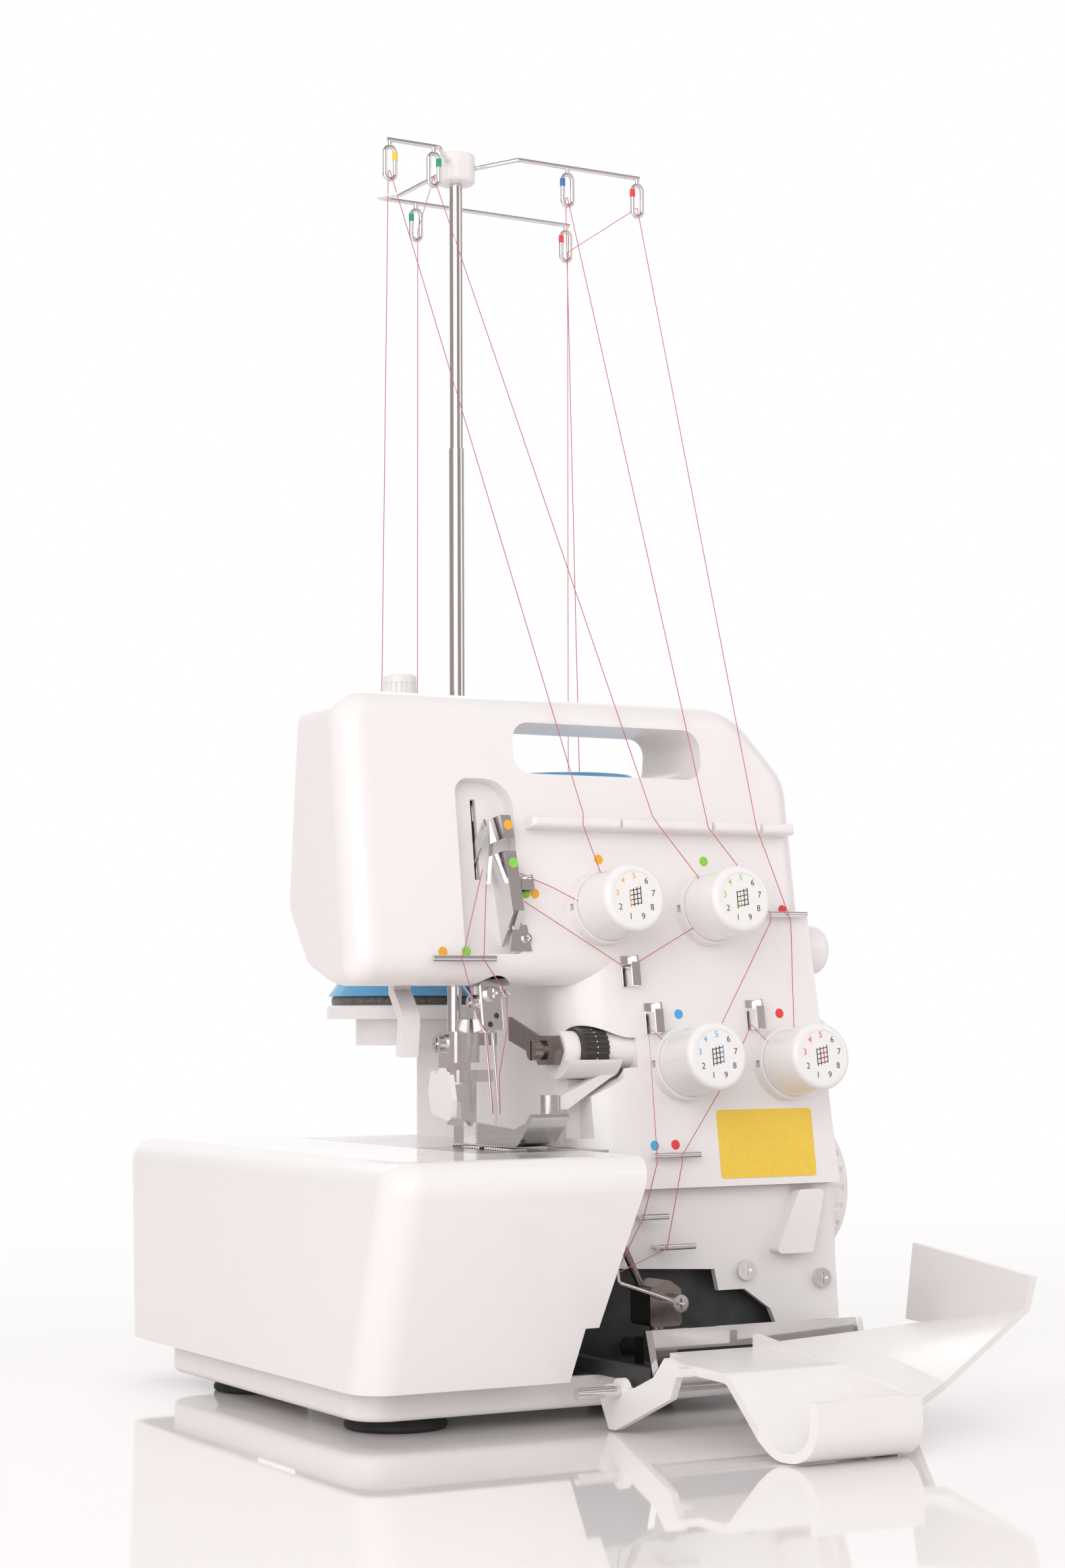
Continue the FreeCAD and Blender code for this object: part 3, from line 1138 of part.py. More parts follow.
def presser_foot():
    toe = FOOT_FRONT
    upper_face = FOOT_SOLE + FOOT_THICK
    side = [(FOOT_BACK, FOOT_SOLE, 0.8), (toe + 13, FOOT_SOLE, 8.0), (toe, FOOT_SOLE + FOOT_TOE, 0.8),
            (toe + 1.5, FOOT_SOLE + FOOT_TOE + 2, 0.8), (toe + 14, upper_face, 7.0),
            (FOOT_BACK, upper_face, 0.8)]
    sole = prism_x(side, FOOT_LEFT, FOOT_RIGHT)
    wall_side = sharp([(FOOT_BACK, FOOT_SOLE + 1), (FOOT_BACK, HOLDER_BOTTOM), (FOOT_BACK - 12, HOLDER_BOTTOM),
                       (FOOT_BACK - 14, FOOT_SOLE + FOOT_SIDE), (toe + 16, FOOT_SOLE + FOOT_SIDE - 2),
                       (toe + 4, FOOT_SOLE + FOOT_TOE - 1.5), (toe + 13, FOOT_SOLE + 1)])
    left_wall = prism_x(wall_side, FOOT_LEFT, FOOT_LEFT + FOOT_WALL)
    bridge = box(PRESSER_X - 1, PRESSER_X + HOLDER_WIDTH / 2, PRESSER_Y - HOLDER_DEPTH, PRESSER_Y - 1,
                 FOOT_SOLE, HOLDER_BOTTOM)
    needle_y = NEEDLE_Y - (NEEDLE_Z - FOOT_SOLE) * math.tan(math.radians(NEEDLE_LEAN))
    slot = box(NEEDLE_X - 5, NEEDLE_X + 4, needle_y - 5, needle_y + 6, FOOT_SOLE - 1, FOOT_SOLE + 20)
    beside_toe = box(FOOT_TOE_RIGHT, FOOT_RIGHT + 1, toe - 1, FOOT_TOE_BACK, FOOT_SOLE - 1, FOOT_SOLE + 20)
    return cut(fuse([sole, left_wall, bridge]), [slot, beside_toe])


def foot_guard():
    right = GUARD_LEFT + GUARD_THICK
    plate = prism_x(list(GUARD_OUTLINE), GUARD_LEFT, right)
    arm = box(right - 1, PRESSER_X - 1, PRESSER_Y - HOLDER_DEPTH + 2, PRESSER_Y - 4, 122.0, 129.0)
    return fuse([plate, arm])


def presser_lifter():
    left = LIFTER_X - LIFTER_WIDTH / 2
    right = LIFTER_X + LIFTER_WIDTH / 2
    arm = [(LIFTER_Y - 4, LIFTER_Z), (LIFTER_Y - 4, 174.0), (LIFTER_Y - 13, 163.0), (LIFTER_Y - 11, 148.0)]
    lever = sheet_x(arm, 4.0, 5.0, left, right)
    hub = rod((left, LIFTER_Y, LIFTER_Z), (right, LIFTER_Y, LIFTER_Z), LIFTER_HUB_RADIUS)
    bore = rod((left - 1, LIFTER_Y, LIFTER_Z), (right + 1, LIFTER_Y, LIFTER_Z), LIFTER_PIN_RADIUS + RUN_GAP)
    return fuse([lever, hub]).cut(bore)


def knife_axis(x):
    return (x, KNIFE_Y, KNIFE_Z)


def knife_holder(grow):
    x, y, z = KNIFE_HOLDER
    return rod((x, y, z), (x, y, z + KNIFE_HOLDER_HEIGHT), KNIFE_HOLDER_RADIUS + grow)


def knife_arm_high():
    return KNIFE_Z - KNIFE_KNOB_RADIUS - FREE_GAP - 0.3


def upper_knife_arm():
    """Collar on the pin, a saddle under the knob and a slanting arm down to the knife."""
    collar = rod(knife_axis(KNIFE_COLLAR_LEFT), knife_axis(KNIFE_KNOB_LEFT), KNIFE_COLLAR_RADIUS)
    under = box(KNIFE_COLLAR_LEFT, SADDLE_RIGHT, KNIFE_Y - SADDLE_RADIUS, KNIFE_Y + SADDLE_RADIUS,
                KNIFE_Z - SADDLE_RADIUS, KNIFE_Z - SADDLE_DROP)
    saddle = rod(knife_axis(KNIFE_COLLAR_LEFT), knife_axis(SADDLE_RIGHT), SADDLE_RADIUS).common(under)
    knob_room = rod(knife_axis(KNIFE_KNOB_LEFT), knife_axis(SADDLE_RIGHT + 1), KNIFE_KNOB_RADIUS + FREE_GAP)
    high = knife_arm_high()
    low = KNIFE_HOLDER[2] + 2
    arm = prism_y(sharp([(SADDLE_RIGHT, high), (SADDLE_RIGHT - 6.5, high), (KNIFE_ARM_END, low + 5),
                         (KNIFE_ARM_END, low), (KNIFE_ARM_END + 4.5, low)]), KNIFE_ARM_FRONT, KNIFE_ARM_BACK)
    bore = rod(knife_axis(KNIFE_COLLAR_LEFT - 1), knife_axis(KNIFE_KNOB_LEFT + 1), KNIFE_PIN_RADIUS + RUN_GAP)
    return cut(fuse([collar, saddle.cut(knob_room), arm]), [bore, knife_holder(SEAT_GAP)])


def upper_knife():
    x, y, z = KNIFE_HOLDER
    blade = box(x + KNIFE_BLADE, x + 2 * KNIFE_BLADE, y - 4, y + 5, BED_TOP + 1.0, z + 1)
    return fuse([knife_holder(0.0), blade])


def knife_knob():
    left = KNIFE_KNOB_LEFT + SEAT_GAP
    right = KNIFE_SLEEVE_LEFT - SEAT_GAP
    knob = rod(knife_axis(left), knife_axis(right), KNIFE_KNOB_RADIUS)
    grooves = []
    for i in range(KNIFE_KNOB_GRIPS):
        turn = 2 * math.pi * i / KNIFE_KNOB_GRIPS
        y = KNIFE_Y + KNIFE_KNOB_RADIUS * math.cos(turn)
        z = KNIFE_Z + KNIFE_KNOB_RADIUS * math.sin(turn)
        grooves.append(rod((left + 2, y, z), (right + 1, y, z), 0.6))
    bore = rod(knife_axis(left - 1), knife_axis(right + 1), KNIFE_PIN_RADIUS + RUN_GAP)
    return knob.cut(Part.makeCompound(grooves)).cut(bore)


def knife_lever():
    nut_corners = []
    for i in range(6):
        turn = math.pi * i / 3
        nut_corners.append((KNIFE_Y + KNIFE_NUT_RADIUS * math.cos(turn),
                            KNIFE_Z + KNIFE_NUT_RADIUS * math.sin(turn)))
    nut = prism_x(sharp(nut_corners), KNIFE_NUT_LEFT, KNIFE_COLLAR_LEFT - SEAT_GAP)
    screw = rod(knife_axis(KNIFE_SCREW_LEFT), knife_axis(KNIFE_NUT_LEFT), KNIFE_SCREW_RADIUS)
    slit = box(KNIFE_SCREW_LEFT - 1, KNIFE_SCREW_LEFT + 1, KNIFE_Y - 0.5, KNIFE_Y + 0.5,
               KNIFE_Z - KNIFE_SCREW_RADIUS - 1, KNIFE_Z + KNIFE_SCREW_RADIUS + 1)
    strip_side = sharp([(KNIFE_Y + 2, KNIFE_Z + 5), (KNIFE_Y + 31, KNIFE_Z + 14), (KNIFE_Y + 31, KNIFE_Z + 4),
                        (KNIFE_Y + 2, KNIFE_Z - 4)])
    strip = prism_x(strip_side, KNIFE_NUT_LEFT + 1, KNIFE_NUT_LEFT + 2.6)
    pin = rod(knife_axis(KNIFE_NUT_LEFT), knife_axis(KNIFE_PIN_RIGHT), KNIFE_PIN_RADIUS)
    return fuse([nut, screw, strip, pin]).cut(slit)


def dog_slots(grow):
    slots = []
    for y in (DOG_MAIN_Y, DOG_DIFF_Y):
        slots.append(box(DOG_LEFT - grow, DOG_LEFT + DOG_WIDTH + grow,
                         y - DOG_TRAVEL - grow, y + DOG_LENGTH + DOG_TRAVEL + grow,
                         BED_TOP - PLATE_THICK - 1, BED_TOP + 1))
    return slots


def needle_plate():
    plate = box(PLATE_LEFT, PLATE_RIGHT, PLATE_FRONT, PLATE_BACK, BED_TOP - PLATE_THICK, BED_TOP)
    needle_y = NEEDLE_Y - (NEEDLE_Z - BED_TOP) * math.tan(math.radians(NEEDLE_LEAN))
    hole = box(NEEDLE_X - 4, NEEDLE_X + 4, needle_y - 5, needle_y + 5, BED_TOP - 9, BED_TOP + 1)
    knife_x = KNIFE_HOLDER[0] + KNIFE_BLADE
    knife_slot = box(knife_x - FREE_GAP, knife_x + KNIFE_BLADE + FREE_GAP, -70.0, -45.0,
                     BED_TOP - 9, BED_TOP + 1)
    return cut(plate, [hole, knife_slot] + dog_slots(FREE_GAP))


def feed_dog(y):
    top = BED_TOP + DOG_RISE
    body = box(DOG_LEFT, DOG_LEFT + DOG_WIDTH, y, y + DOG_LENGTH, BED_TOP - 9, top)
    grooves = []
    for i in range(int(DOG_LENGTH / DOG_TOOTH)):
        z = top - 1.0
        low = y + i * DOG_TOOTH
        gap = sharp([(low, top + 0.1), (low + DOG_TOOTH * 0.5, z), (low + DOG_TOOTH * 0.7, top + 0.1)])
        grooves.append(prism_x(gap, DOG_LEFT - 1, DOG_LEFT + DOG_WIDTH + 1))
    return body.cut(Part.makeCompound(grooves))


def feed_dog_main():
    return feed_dog(DOG_MAIN_Y)


def feed_dog_differential():
    return feed_dog(DOG_DIFF_Y)


def lower_looper():
    x, z = LOOPER_PIVOT
    x0, x1, z0, z1 = LOOPER_BLOCK
    shaft = rod((x, LOOPER_BLOCK_FRONT + 2, z), (x, FRAME_WALL_BACK + 6, z), LOOPER_SHAFT_RADIUS)
    clamp = box(x - 6, x + 6, LOOPER_BLOCK_FRONT + 2, LOOPER_BLOCK_BACK, z - 5, z + 6)
    middle_y = (LOOPER_BLOCK_FRONT + LOOPER_BLOCK_BACK) / 2
    post = rod((x, middle_y, z), (x, middle_y, z0 + 1), 3.0)
    block = prism_y([(x0, z0, 2.0), (x1, z0, 2.0), (x1, z1 - 4, 3.0), (x1 - 6, z1, 3.0), (x0, z1 - 3, 3.0)],
                    LOOPER_BLOCK_FRONT, LOOPER_BLOCK_BACK)
    blade_y = LOOPER_BLOCK_BACK - 4
    blade = bent_rod([(x0 + 4, blade_y, z1 - 6), (x0 - 8, blade_y, z1 + 18), (x0 - 32, blade_y, z1 + 34)],
                     1.6, 8.0)
    return fuse([shaft, clamp, post, block, blade])


def upper_looper():
    x, z = UPPER_PIVOT
    shaft = rod((x, UPPER_LOOPER_FRONT, z), (x, FRAME_WALL_BACK + 6, z), LOOPER_SHAFT_RADIUS)
    hub = rod((x, UPPER_LOOPER_FRONT, z), (x, FRAME_WALL_FRONT - 4, z), 7.0)
    blade = bent_rod([(x + 4, UPPER_LOOPER_FRONT + 4, z + 3), (x + 12, UPPER_LOOPER_FRONT + 4, z + 16),
                      (x + 2, UPPER_LOOPER_FRONT + 4, z + 30)], 1.4, 6.0)
    return fuse([shaft, hub, blade])


def looper_thread_arm():
    y = LOOPER_BLOCK_FRONT - 2.0
    x1 = LOOPER_BLOCK[1]
    arm = bent_rod([(x1 - 3, y, 46.5), (x1 - 16, y, 51.0), (-9.0, y, 56.0), (-10.0, y, 63.0)], 0.8, 2.0)
    screw = cross_head((x1 - 3, LOOPER_BLOCK_FRONT, 46.5), (0, -1, 0), 3.6, 4.5)
    return fuse([arm, screw])


def shaft_axis(x):
    return (x, SHAFT_Y, SHAFT_Z)


def main_shaft():
    return group([rod(shaft_axis(SHAFT_LEFT), shaft_axis(SHAFT_RIGHT), SHAFT_RADIUS), main_pulley()])


def shaft_bushes():
    bushes = []
    for x in (WEB_LEFT, WEB_RIGHT):
        bushes.append(ring(shaft_axis(x), shaft_axis(x + WEB_THICK), BUSH_RADIUS, SHAFT_RADIUS + RUN_GAP))
    return group(bushes)


def main_pulley():
    return ring(shaft_axis(PULLEY_LEFT), shaft_axis(PULLEY_LEFT + PULLEY_WIDTH), PULLEY_RADIUS, SHAFT_RADIUS)


def handwheel():
    right = WHEEL_LEFT + WHEEL_WIDTH
    wheel = rod(shaft_axis(WHEEL_LEFT), shaft_axis(right), WHEEL_RADIUS)
    wheel = rounded(wheel, 4.0, lambda e: abs(e.BoundBox.YLength - 2 * WHEEL_RADIUS) < 0.1)
    dish = cone(shaft_axis(right - 4), shaft_axis(right + 0.1), WHEEL_RADIUS - 14, WHEEL_RADIUS - 8)
    hub = ring(shaft_axis(right - 5), shaft_axis(right), 10.0, SHAFT_RADIUS)
    bore = rod(shaft_axis(WHEEL_LEFT - 1), shaft_axis(SHAFT_RIGHT), SHAFT_RADIUS)
    grips = []
    for i in range(WHEEL_GRIPS):
        turn = 2 * math.pi * i / WHEEL_GRIPS
        y = SHAFT_Y + (WHEEL_RADIUS + 1.2) * math.cos(turn)
        z = SHAFT_Z + (WHEEL_RADIUS + 1.2) * math.sin(turn)
        grips.append(rod((WHEEL_LEFT + 4, y, z), (right - 4, y, z), 2.0))
    wheel = cut(wheel, [dish, Part.makeCompound(grips)])
    return fuse([wheel, hub]).cut(bore)


def motor_axis(x):
    return (x, MOTOR_Y, MOTOR_Z)


def motor():
    can = rod(motor_axis(MOTOR_LEFT), motor_axis(MOTOR_RIGHT), MOTOR_RADIUS)
    can = rounded(can, 3.0, lambda e: abs(e.BoundBox.YLength - 2 * MOTOR_RADIUS) < 0.1)
    feet = box(MOTOR_LEFT + 12, MOTOR_RIGHT - 12, MOTOR_Y - 14, MOTOR_Y + 14,
               BASE_BOTTOM + WALL + SLAB_THICK, MOTOR_Z - 15)
    bore = rod(motor_axis(MOTOR_RIGHT - 20), motor_axis(MOTOR_RIGHT + 1), MOTOR_SHAFT_RADIUS + RUN_GAP)
    return fuse([can, feet]).cut(bore)


def motor_pulley():
    shaft = rod(motor_axis(MOTOR_RIGHT - 18), motor_axis(PULLEY_LEFT + PULLEY_WIDTH + 2), MOTOR_SHAFT_RADIUS)
    wheel = rod(motor_axis(PULLEY_LEFT), motor_axis(PULLEY_LEFT + PULLEY_WIDTH), MOTOR_PULLEY_RADIUS)
    return fuse([shaft, wheel])


def belt_loop(x0, x1, grow):
    """Loop round both pulleys, grown from their rims."""
    big = PULLEY_RADIUS + grow
    small = MOTOR_PULLEY_RADIUS + grow
    dy = MOTOR_Y - SHAFT_Y
    dz = MOTOR_Z - SHAFT_Z
    span = math.hypot(dy, dz)
    along = math.atan2(dz, dy)
    spread = math.acos((big - small) / span)
    corners = []
    for centre_y, centre_z, radius, side in ((SHAFT_Y, SHAFT_Z, big, 1), (SHAFT_Y, SHAFT_Z, big, -1),
                                             (MOTOR_Y, MOTOR_Z, small, -1), (MOTOR_Y, MOTOR_Z, small, 1)):
        turn = along + side * spread
        corners.append((centre_y + radius * math.cos(turn), centre_z + radius * math.sin(turn)))
    web = prism_x(sharp(corners), x0, x1)
    return fuse([web, rod(shaft_axis(x0), shaft_axis(x1), big), rod(motor_axis(x0), motor_axis(x1), small)])


def drive_belt():
    x0 = PULLEY_LEFT + 1
    x1 = PULLEY_LEFT + PULLEY_WIDTH - 1
    return belt_loop(x0, x1, BELT_GAP + BELT_THICK).cut(belt_loop(x0 - 1, x1 + 1, BELT_GAP))


def side_dial(place):
    y, z = place
    left = COLUMN_RIGHT + FREE_GAP
    right = left + SIDE_DIAL_LENGTH - 4
    knob = rod((left, y, z), (right, y, z), SIDE_DIAL_RADIUS)
    knob = rounded(knob, 5.0, lambda e: e.BoundBox.XMin > right - 0.01)
    stem = rod((COLUMN_RIGHT - 12, y, z), (left + 1, y, z), POST_RADIUS - RUN_GAP)
    return fuse([knob, stem])


def power_inlet():
    face = HOUSING_RIGHT
    half_y = INLET_WIDTH / 2 - SEAT_GAP
    half_z = INLET_HEIGHT / 2 - SEAT_GAP
    body = box(face - 16, face, INLET_Y - half_y, INLET_Y + half_y, INLET_Z - half_z, INLET_Z + half_z)
    flange = box(face, face + 1.6, INLET_Y - half_y - 3, INLET_Y + half_y + 3,
                 INLET_Z - half_z - 3, INLET_Z + half_z + 3)
    mouth = box(face - 12, face + 2, INLET_Y - half_y + 2, INLET_Y + half_y - 2,
                INLET_Z - half_z + 2, INLET_Z + half_z - 2)
    pins = []
    for offset in (-5.0, 5.0):
        pins.append(rod((face - 13, INLET_Y + offset, INLET_Z), (face - 3, INLET_Y + offset, INLET_Z), 1.2))
    return fuse([fuse([body, flange]).cut(mouth)] + pins)


def power_switch():
    face = HOUSING_RIGHT
    half_y = SWITCH_WIDTH / 2 - FREE_GAP
    half_z = SWITCH_HEIGHT / 2 - FREE_GAP - 0.6
    profile = sharp([(face - 6, INLET_Z - half_z + 2), (face + 0.5, INLET_Z - half_z), (face + 1.0, INLET_Z),
                     (face + 2.6, INLET_Z + half_z), (face - 6, INLET_Z + half_z - 2)])
    rocker = prism_y(profile, SWITCH_Y - half_y, SWITCH_Y + half_y)
    return rocker.cut(switch_pin(SWITCH_PIN_RADIUS + RUN_GAP))


def switch_pin(radius):
    x = HOUSING_RIGHT - WALL / 2
    reach = SWITCH_WIDTH / 2 + 2
    return rod((x, SWITCH_Y - reach, INLET_Z), (x, SWITCH_Y + reach, INLET_Z), radius)


def tray_plate(margin, low, high):
    """Slab round all four spools, at one margin from their centres."""
    places = [SPOOL_PLACES[i] for i in SPOOL_RING]
    corners = [V(x, y, low) for x, y in places + places[:1]]
    wire = Part.makePolygon(corners).makeOffset2D(margin)
    return Part.Face(wire).extrude(V(0, 0, high - low))


def spool_tray():
    bottom = TRAY_TOP - TRAY_THICK
    plate = tray_plate(TRAY_MARGIN, bottom, TRAY_TOP)
    plate = rounded(plate, 1.5, lambda e: e.BoundBox.ZMin > TRAY_TOP - 0.01)
    over_housing = box(-200, 200, 0, HOUSING_BACK, HOUSING_TOP, bottom)
    seat = tray_plate(TRAY_MARGIN - SEAT_INSET, HOUSING_TOP, bottom).common(over_housing)
    holes = [rod((x, y, bottom - 1), (x, y, TRAY_TOP + 1), SPOOL_PIN_RADIUS) for x, y in SPOOL_PLACES]
    socket = ring(pole_axis(TRAY_TOP), pole_axis(TRAY_TOP + 6), POLE_OUTER_RADIUS + 1.6, POLE_OUTER_RADIUS)
    return group([cut(fuse([plate, seat, socket]), holes)] + spool_pins())


def spool_pins():
    bottom = TRAY_TOP - TRAY_THICK
    tops = [CAP_TOP - 6] + [REEL_TOP - 6] * 3
    return [rod((x, y, bottom), (x, y, top), SPOOL_PIN_RADIUS) for (x, y), top in zip(SPOOL_PLACES, tops)]


def foam_pads():
    return group([ring((x, y, TRAY_TOP), (x, y, reel_bottom()), PAD_RADIUS, SPOOL_PIN_RADIUS)
                  for x, y in SPOOL_PLACES])


def reel_bottom():
    return TRAY_TOP + PAD_THICK


def spool_reels():
    reels = []
    low = reel_bottom()
    for x, y in SPOOL_PLACES:
        skirt = cone((x, y, low), (x, y, low + REEL_FLANGE), REEL_FLANGE_RADIUS, REEL_FLANGE_RADIUS - 5)
        core = rod((x, y, low), (x, y, REEL_TOP), REEL_CORE_RADIUS)
        top = rod((x, y, REEL_TOP - REEL_LID), (x, y, REEL_TOP), REEL_TOP_RADIUS)
        bore = rod((x, y, low - 1), (x, y, REEL_TOP + 1), REEL_BORE_RADIUS)
        reels.append(fuse([skirt, core, top]).cut(bore))
    return group(reels)


def thread_windings():
    low = reel_bottom() + REEL_FLANGE
    return group([ring((x, y, low), (x, y, REEL_TOP - REEL_LID), WINDING_RADIUS, REEL_CORE_RADIUS)
                  for x, y in SPOOL_PLACES])


def spool_cap():
    """Ribbed cone over the first spool, the only one that has one."""
    x, y = SPOOL_PLACES[0]
    body = cone((x, y, REEL_TOP), (x, y, CAP_TOP), CAP_SKIRT_RADIUS, CAP_RADIUS)
    body = rounded(body, 1.5, lambda e: e.BoundBox.ZMin > CAP_TOP - 0.01)
    grooves = []
    for i in range(CAP_RIBS):
        turn = 2 * math.pi * i / CAP_RIBS
        low = (x + CAP_SKIRT_RADIUS * math.cos(turn), y + CAP_SKIRT_RADIUS * math.sin(turn), REEL_TOP - 1)
        high = (x + CAP_RADIUS * math.cos(turn), y + CAP_RADIUS * math.sin(turn), CAP_TOP - 4)
        grooves.append(rod(low, high, 0.5))
    bore = rod((x, y, REEL_TOP - 1), (x, y, CAP_TOP - 5), SPOOL_PIN_RADIUS + SEAT_GAP)
    return body.cut(Part.makeCompound(grooves)).cut(bore)


def pole_axis(z):
    return (POLE_X, POLE_Y, z)


def pole_outer():
    return ring(pole_axis(TRAY_TOP), pole_axis(POLE_STEP), POLE_OUTER_RADIUS, POLE_INNER_RADIUS + RUN_GAP)


def pole_inner():
    return rod(pole_axis(POLE_STEP - POLE_OVERLAP), pole_axis(HUB_BOTTOM + HUB_HEIGHT - 2), POLE_INNER_RADIUS)


def guide_hub():
    hub = rod(pole_axis(HUB_BOTTOM), pole_axis(HUB_BOTTOM + HUB_HEIGHT), HUB_RADIUS)
    hub = rounded(hub, 1.5, lambda e: abs(e.BoundBox.XLength - 2 * HUB_RADIUS) < 0.1)
    bore = rod(pole_axis(HUB_BOTTOM - 1), pole_axis(HUB_BOTTOM + HUB_HEIGHT - 2), POLE_INNER_RADIUS)
    holes = fuse(wire_shapes())
    return hub.cut(bore).cut(holes)


def eye(x, y):
    """Closed loop of wire hanging under the guide wire."""
    top = WIRE_Z - EYE_DROP
    half = EYE_WIDTH / 2
    low = top - EYE_HEIGHT
    left_low = V(x - half, y, low)
    left_top = V(x - half, y, top)
    right_low = V(x + half, y, low)
    right_top = V(x + half, y, top)
    edges = [Part.LineSegment(left_low, left_top), Part.Arc(left_top, V(x, y, top + half), right_top),
             Part.LineSegment(right_top, right_low), Part.Arc(right_low, V(x, y, low - half), left_low)]
    path = Part.Wire([edge.toShape() for edge in edges])
    section = Part.Wire([Part.Circle(left_low, V(0, 0, 1), WIRE_RADIUS).toShape()])
    stalk = rod((x, y, top + half), (x, y, WIRE_Z), WIRE_RADIUS)
    return path.makePipeShell([section], True, False).fuse(stalk)


def wire_shapes():
    """The three guide wires that leave the hub, each with its eyes."""
    left_x = FRONT_EYES[0][0]
    front_y = FRONT_EYES[0][1]
    right_x = FRONT_EYES[3][0]
    rear_y = REAR_EYES[0][1]
    left = [(POLE_X - 5, POLE_Y - 2, WIRE_Z), (FRONT_EYES[1][0] + 3, front_y, WIRE_Z),
            (left_x - 1, front_y, WIRE_Z)]
    right = [(POLE_X + 5, POLE_Y - 2, WIRE_Z - 2), (POLE_X + 22, front_y, WIRE_Z),
             (right_x + 1, front_y, WIRE_Z)]
    rear = [(POLE_X - 3, POLE_Y + 5, WIRE_Z - 2), (POLE_X - 14, POLE_Y + 30, WIRE_Z - 8),
            (POLE_X - 10, rear_y, WIRE_Z), (REAR_EYES[1][0] + 2, rear_y, WIRE_Z)]
    return [bent_rod(points, WIRE_RADIUS, WIRE_BEND) for points in (left, right, rear)]


def guide_wires():
    left, right, rear = wire_shapes()
    left = fuse([left] + [eye(x, y) for x, y in FRONT_EYES[:2]])
    right = fuse([right] + [eye(x, y) for x, y in FRONT_EYES[2:]])
    rear = fuse([rear] + [eye(x, y) for x, y in REAR_EYES])
    return group([left, right, rear])


def hinge_rod(x0, x1, radius):
    return rod((x0, HINGE_Y, HINGE_Z), (x1, HINGE_Y, HINGE_Z), radius)


def hinge_bar():
    strip = box(BAR_LEFT, BAR_RIGHT, BAR_Y - BAR_SHEET, BAR_Y, BAR_BOTTOM, BAR_TOP)
    half = HINGE_PIN_RADIUS + 1
    side = sharp([(HINGE_Y - half, HINGE_Z - half), (HINGE_Y + half, HINGE_Z - half), (BAR_Y, BAR_BOTTOM),
                  (BAR_Y, BAR_TOP), (BAR_Y - BAR_SHEET, BAR_TOP), (HINGE_Y - half, HINGE_Z + half)])
    legs = [prism_x(side, x, x + 3.0) for x in (BAR_LEFT - 2.0, BAR_RIGHT - 1.0)]
    return fuse([strip, hinge_rod(HINGE_LEFT, HINGE_RIGHT, HINGE_PIN_RADIUS)] + legs)


def cover_trough():
    """Floor of the looper cover: a flat by the hinge, then a deep channel at the front."""
    line = [(COVER_BACK, HUMP_Z + 1), (HUMP_Y, HUMP_Z), (HUMP_Y - 29, TROUGH_FLOOR),
            (TROUGH_FRONT, TROUGH_FLOOR), (TROUGH_FRONT, TROUGH_RIM)]
    floor = sheet_x(line, TROUGH_BEND, -TROUGH_SHEET, TROUGH_LEFT, TROUGH_RIGHT)
    left = TROUGH_LEFT
    ear_clear = EAR_PLACES[0] + EAR_WIDTH + 8
    left_cut = sharp([(left - 9, COVER_BACK + 9), (ear_clear, COVER_BACK + 9), (ear_clear, HUMP_Y + 44),
                      (left, HUMP_Y + 34), (left, HUMP_Y - 20), (left + TROUGH_SLANT, TROUGH_FRONT - 5),
                      (left - 9, TROUGH_FRONT - 5)])
    return floor.cut(prism_z(left_cut, -9, 60))


def cover_wing():
    """Receding right-hand part of the looper cover, with its end wall."""
    rear = [V(TROUGH_RIGHT - 2, COVER_BACK, HUMP_Z - 1), V(67.0, COVER_BACK, 33.0),
            V(WING_RIGHT, COVER_BACK, 36.0)]
    far = [V(TROUGH_RIGHT - 2, -226.0, 14.0), V(67.0, -200.0, 21.0), V(WING_RIGHT, -187.0, 47.0)]
    plates = []
    for i in range(2):
        back_edge = Part.LineSegment(rear[i], rear[i + 1]).toShape()
        front_edge = Part.LineSegment(far[i], far[i + 1]).toShape()
        plates.append(Part.makeRuledSurface(back_edge, front_edge).extrude(V(0, 0, COVER_SHEET)))
    wall = sharp([(-108.0, 37.0), (-114.0, 69.0), (-192.0, 61.0), (-187.0, 47.0), (COVER_BACK, 36.0)])
    plates.append(prism_x(wall, WING_RIGHT - COVER_SHEET, WING_RIGHT))
    return plates


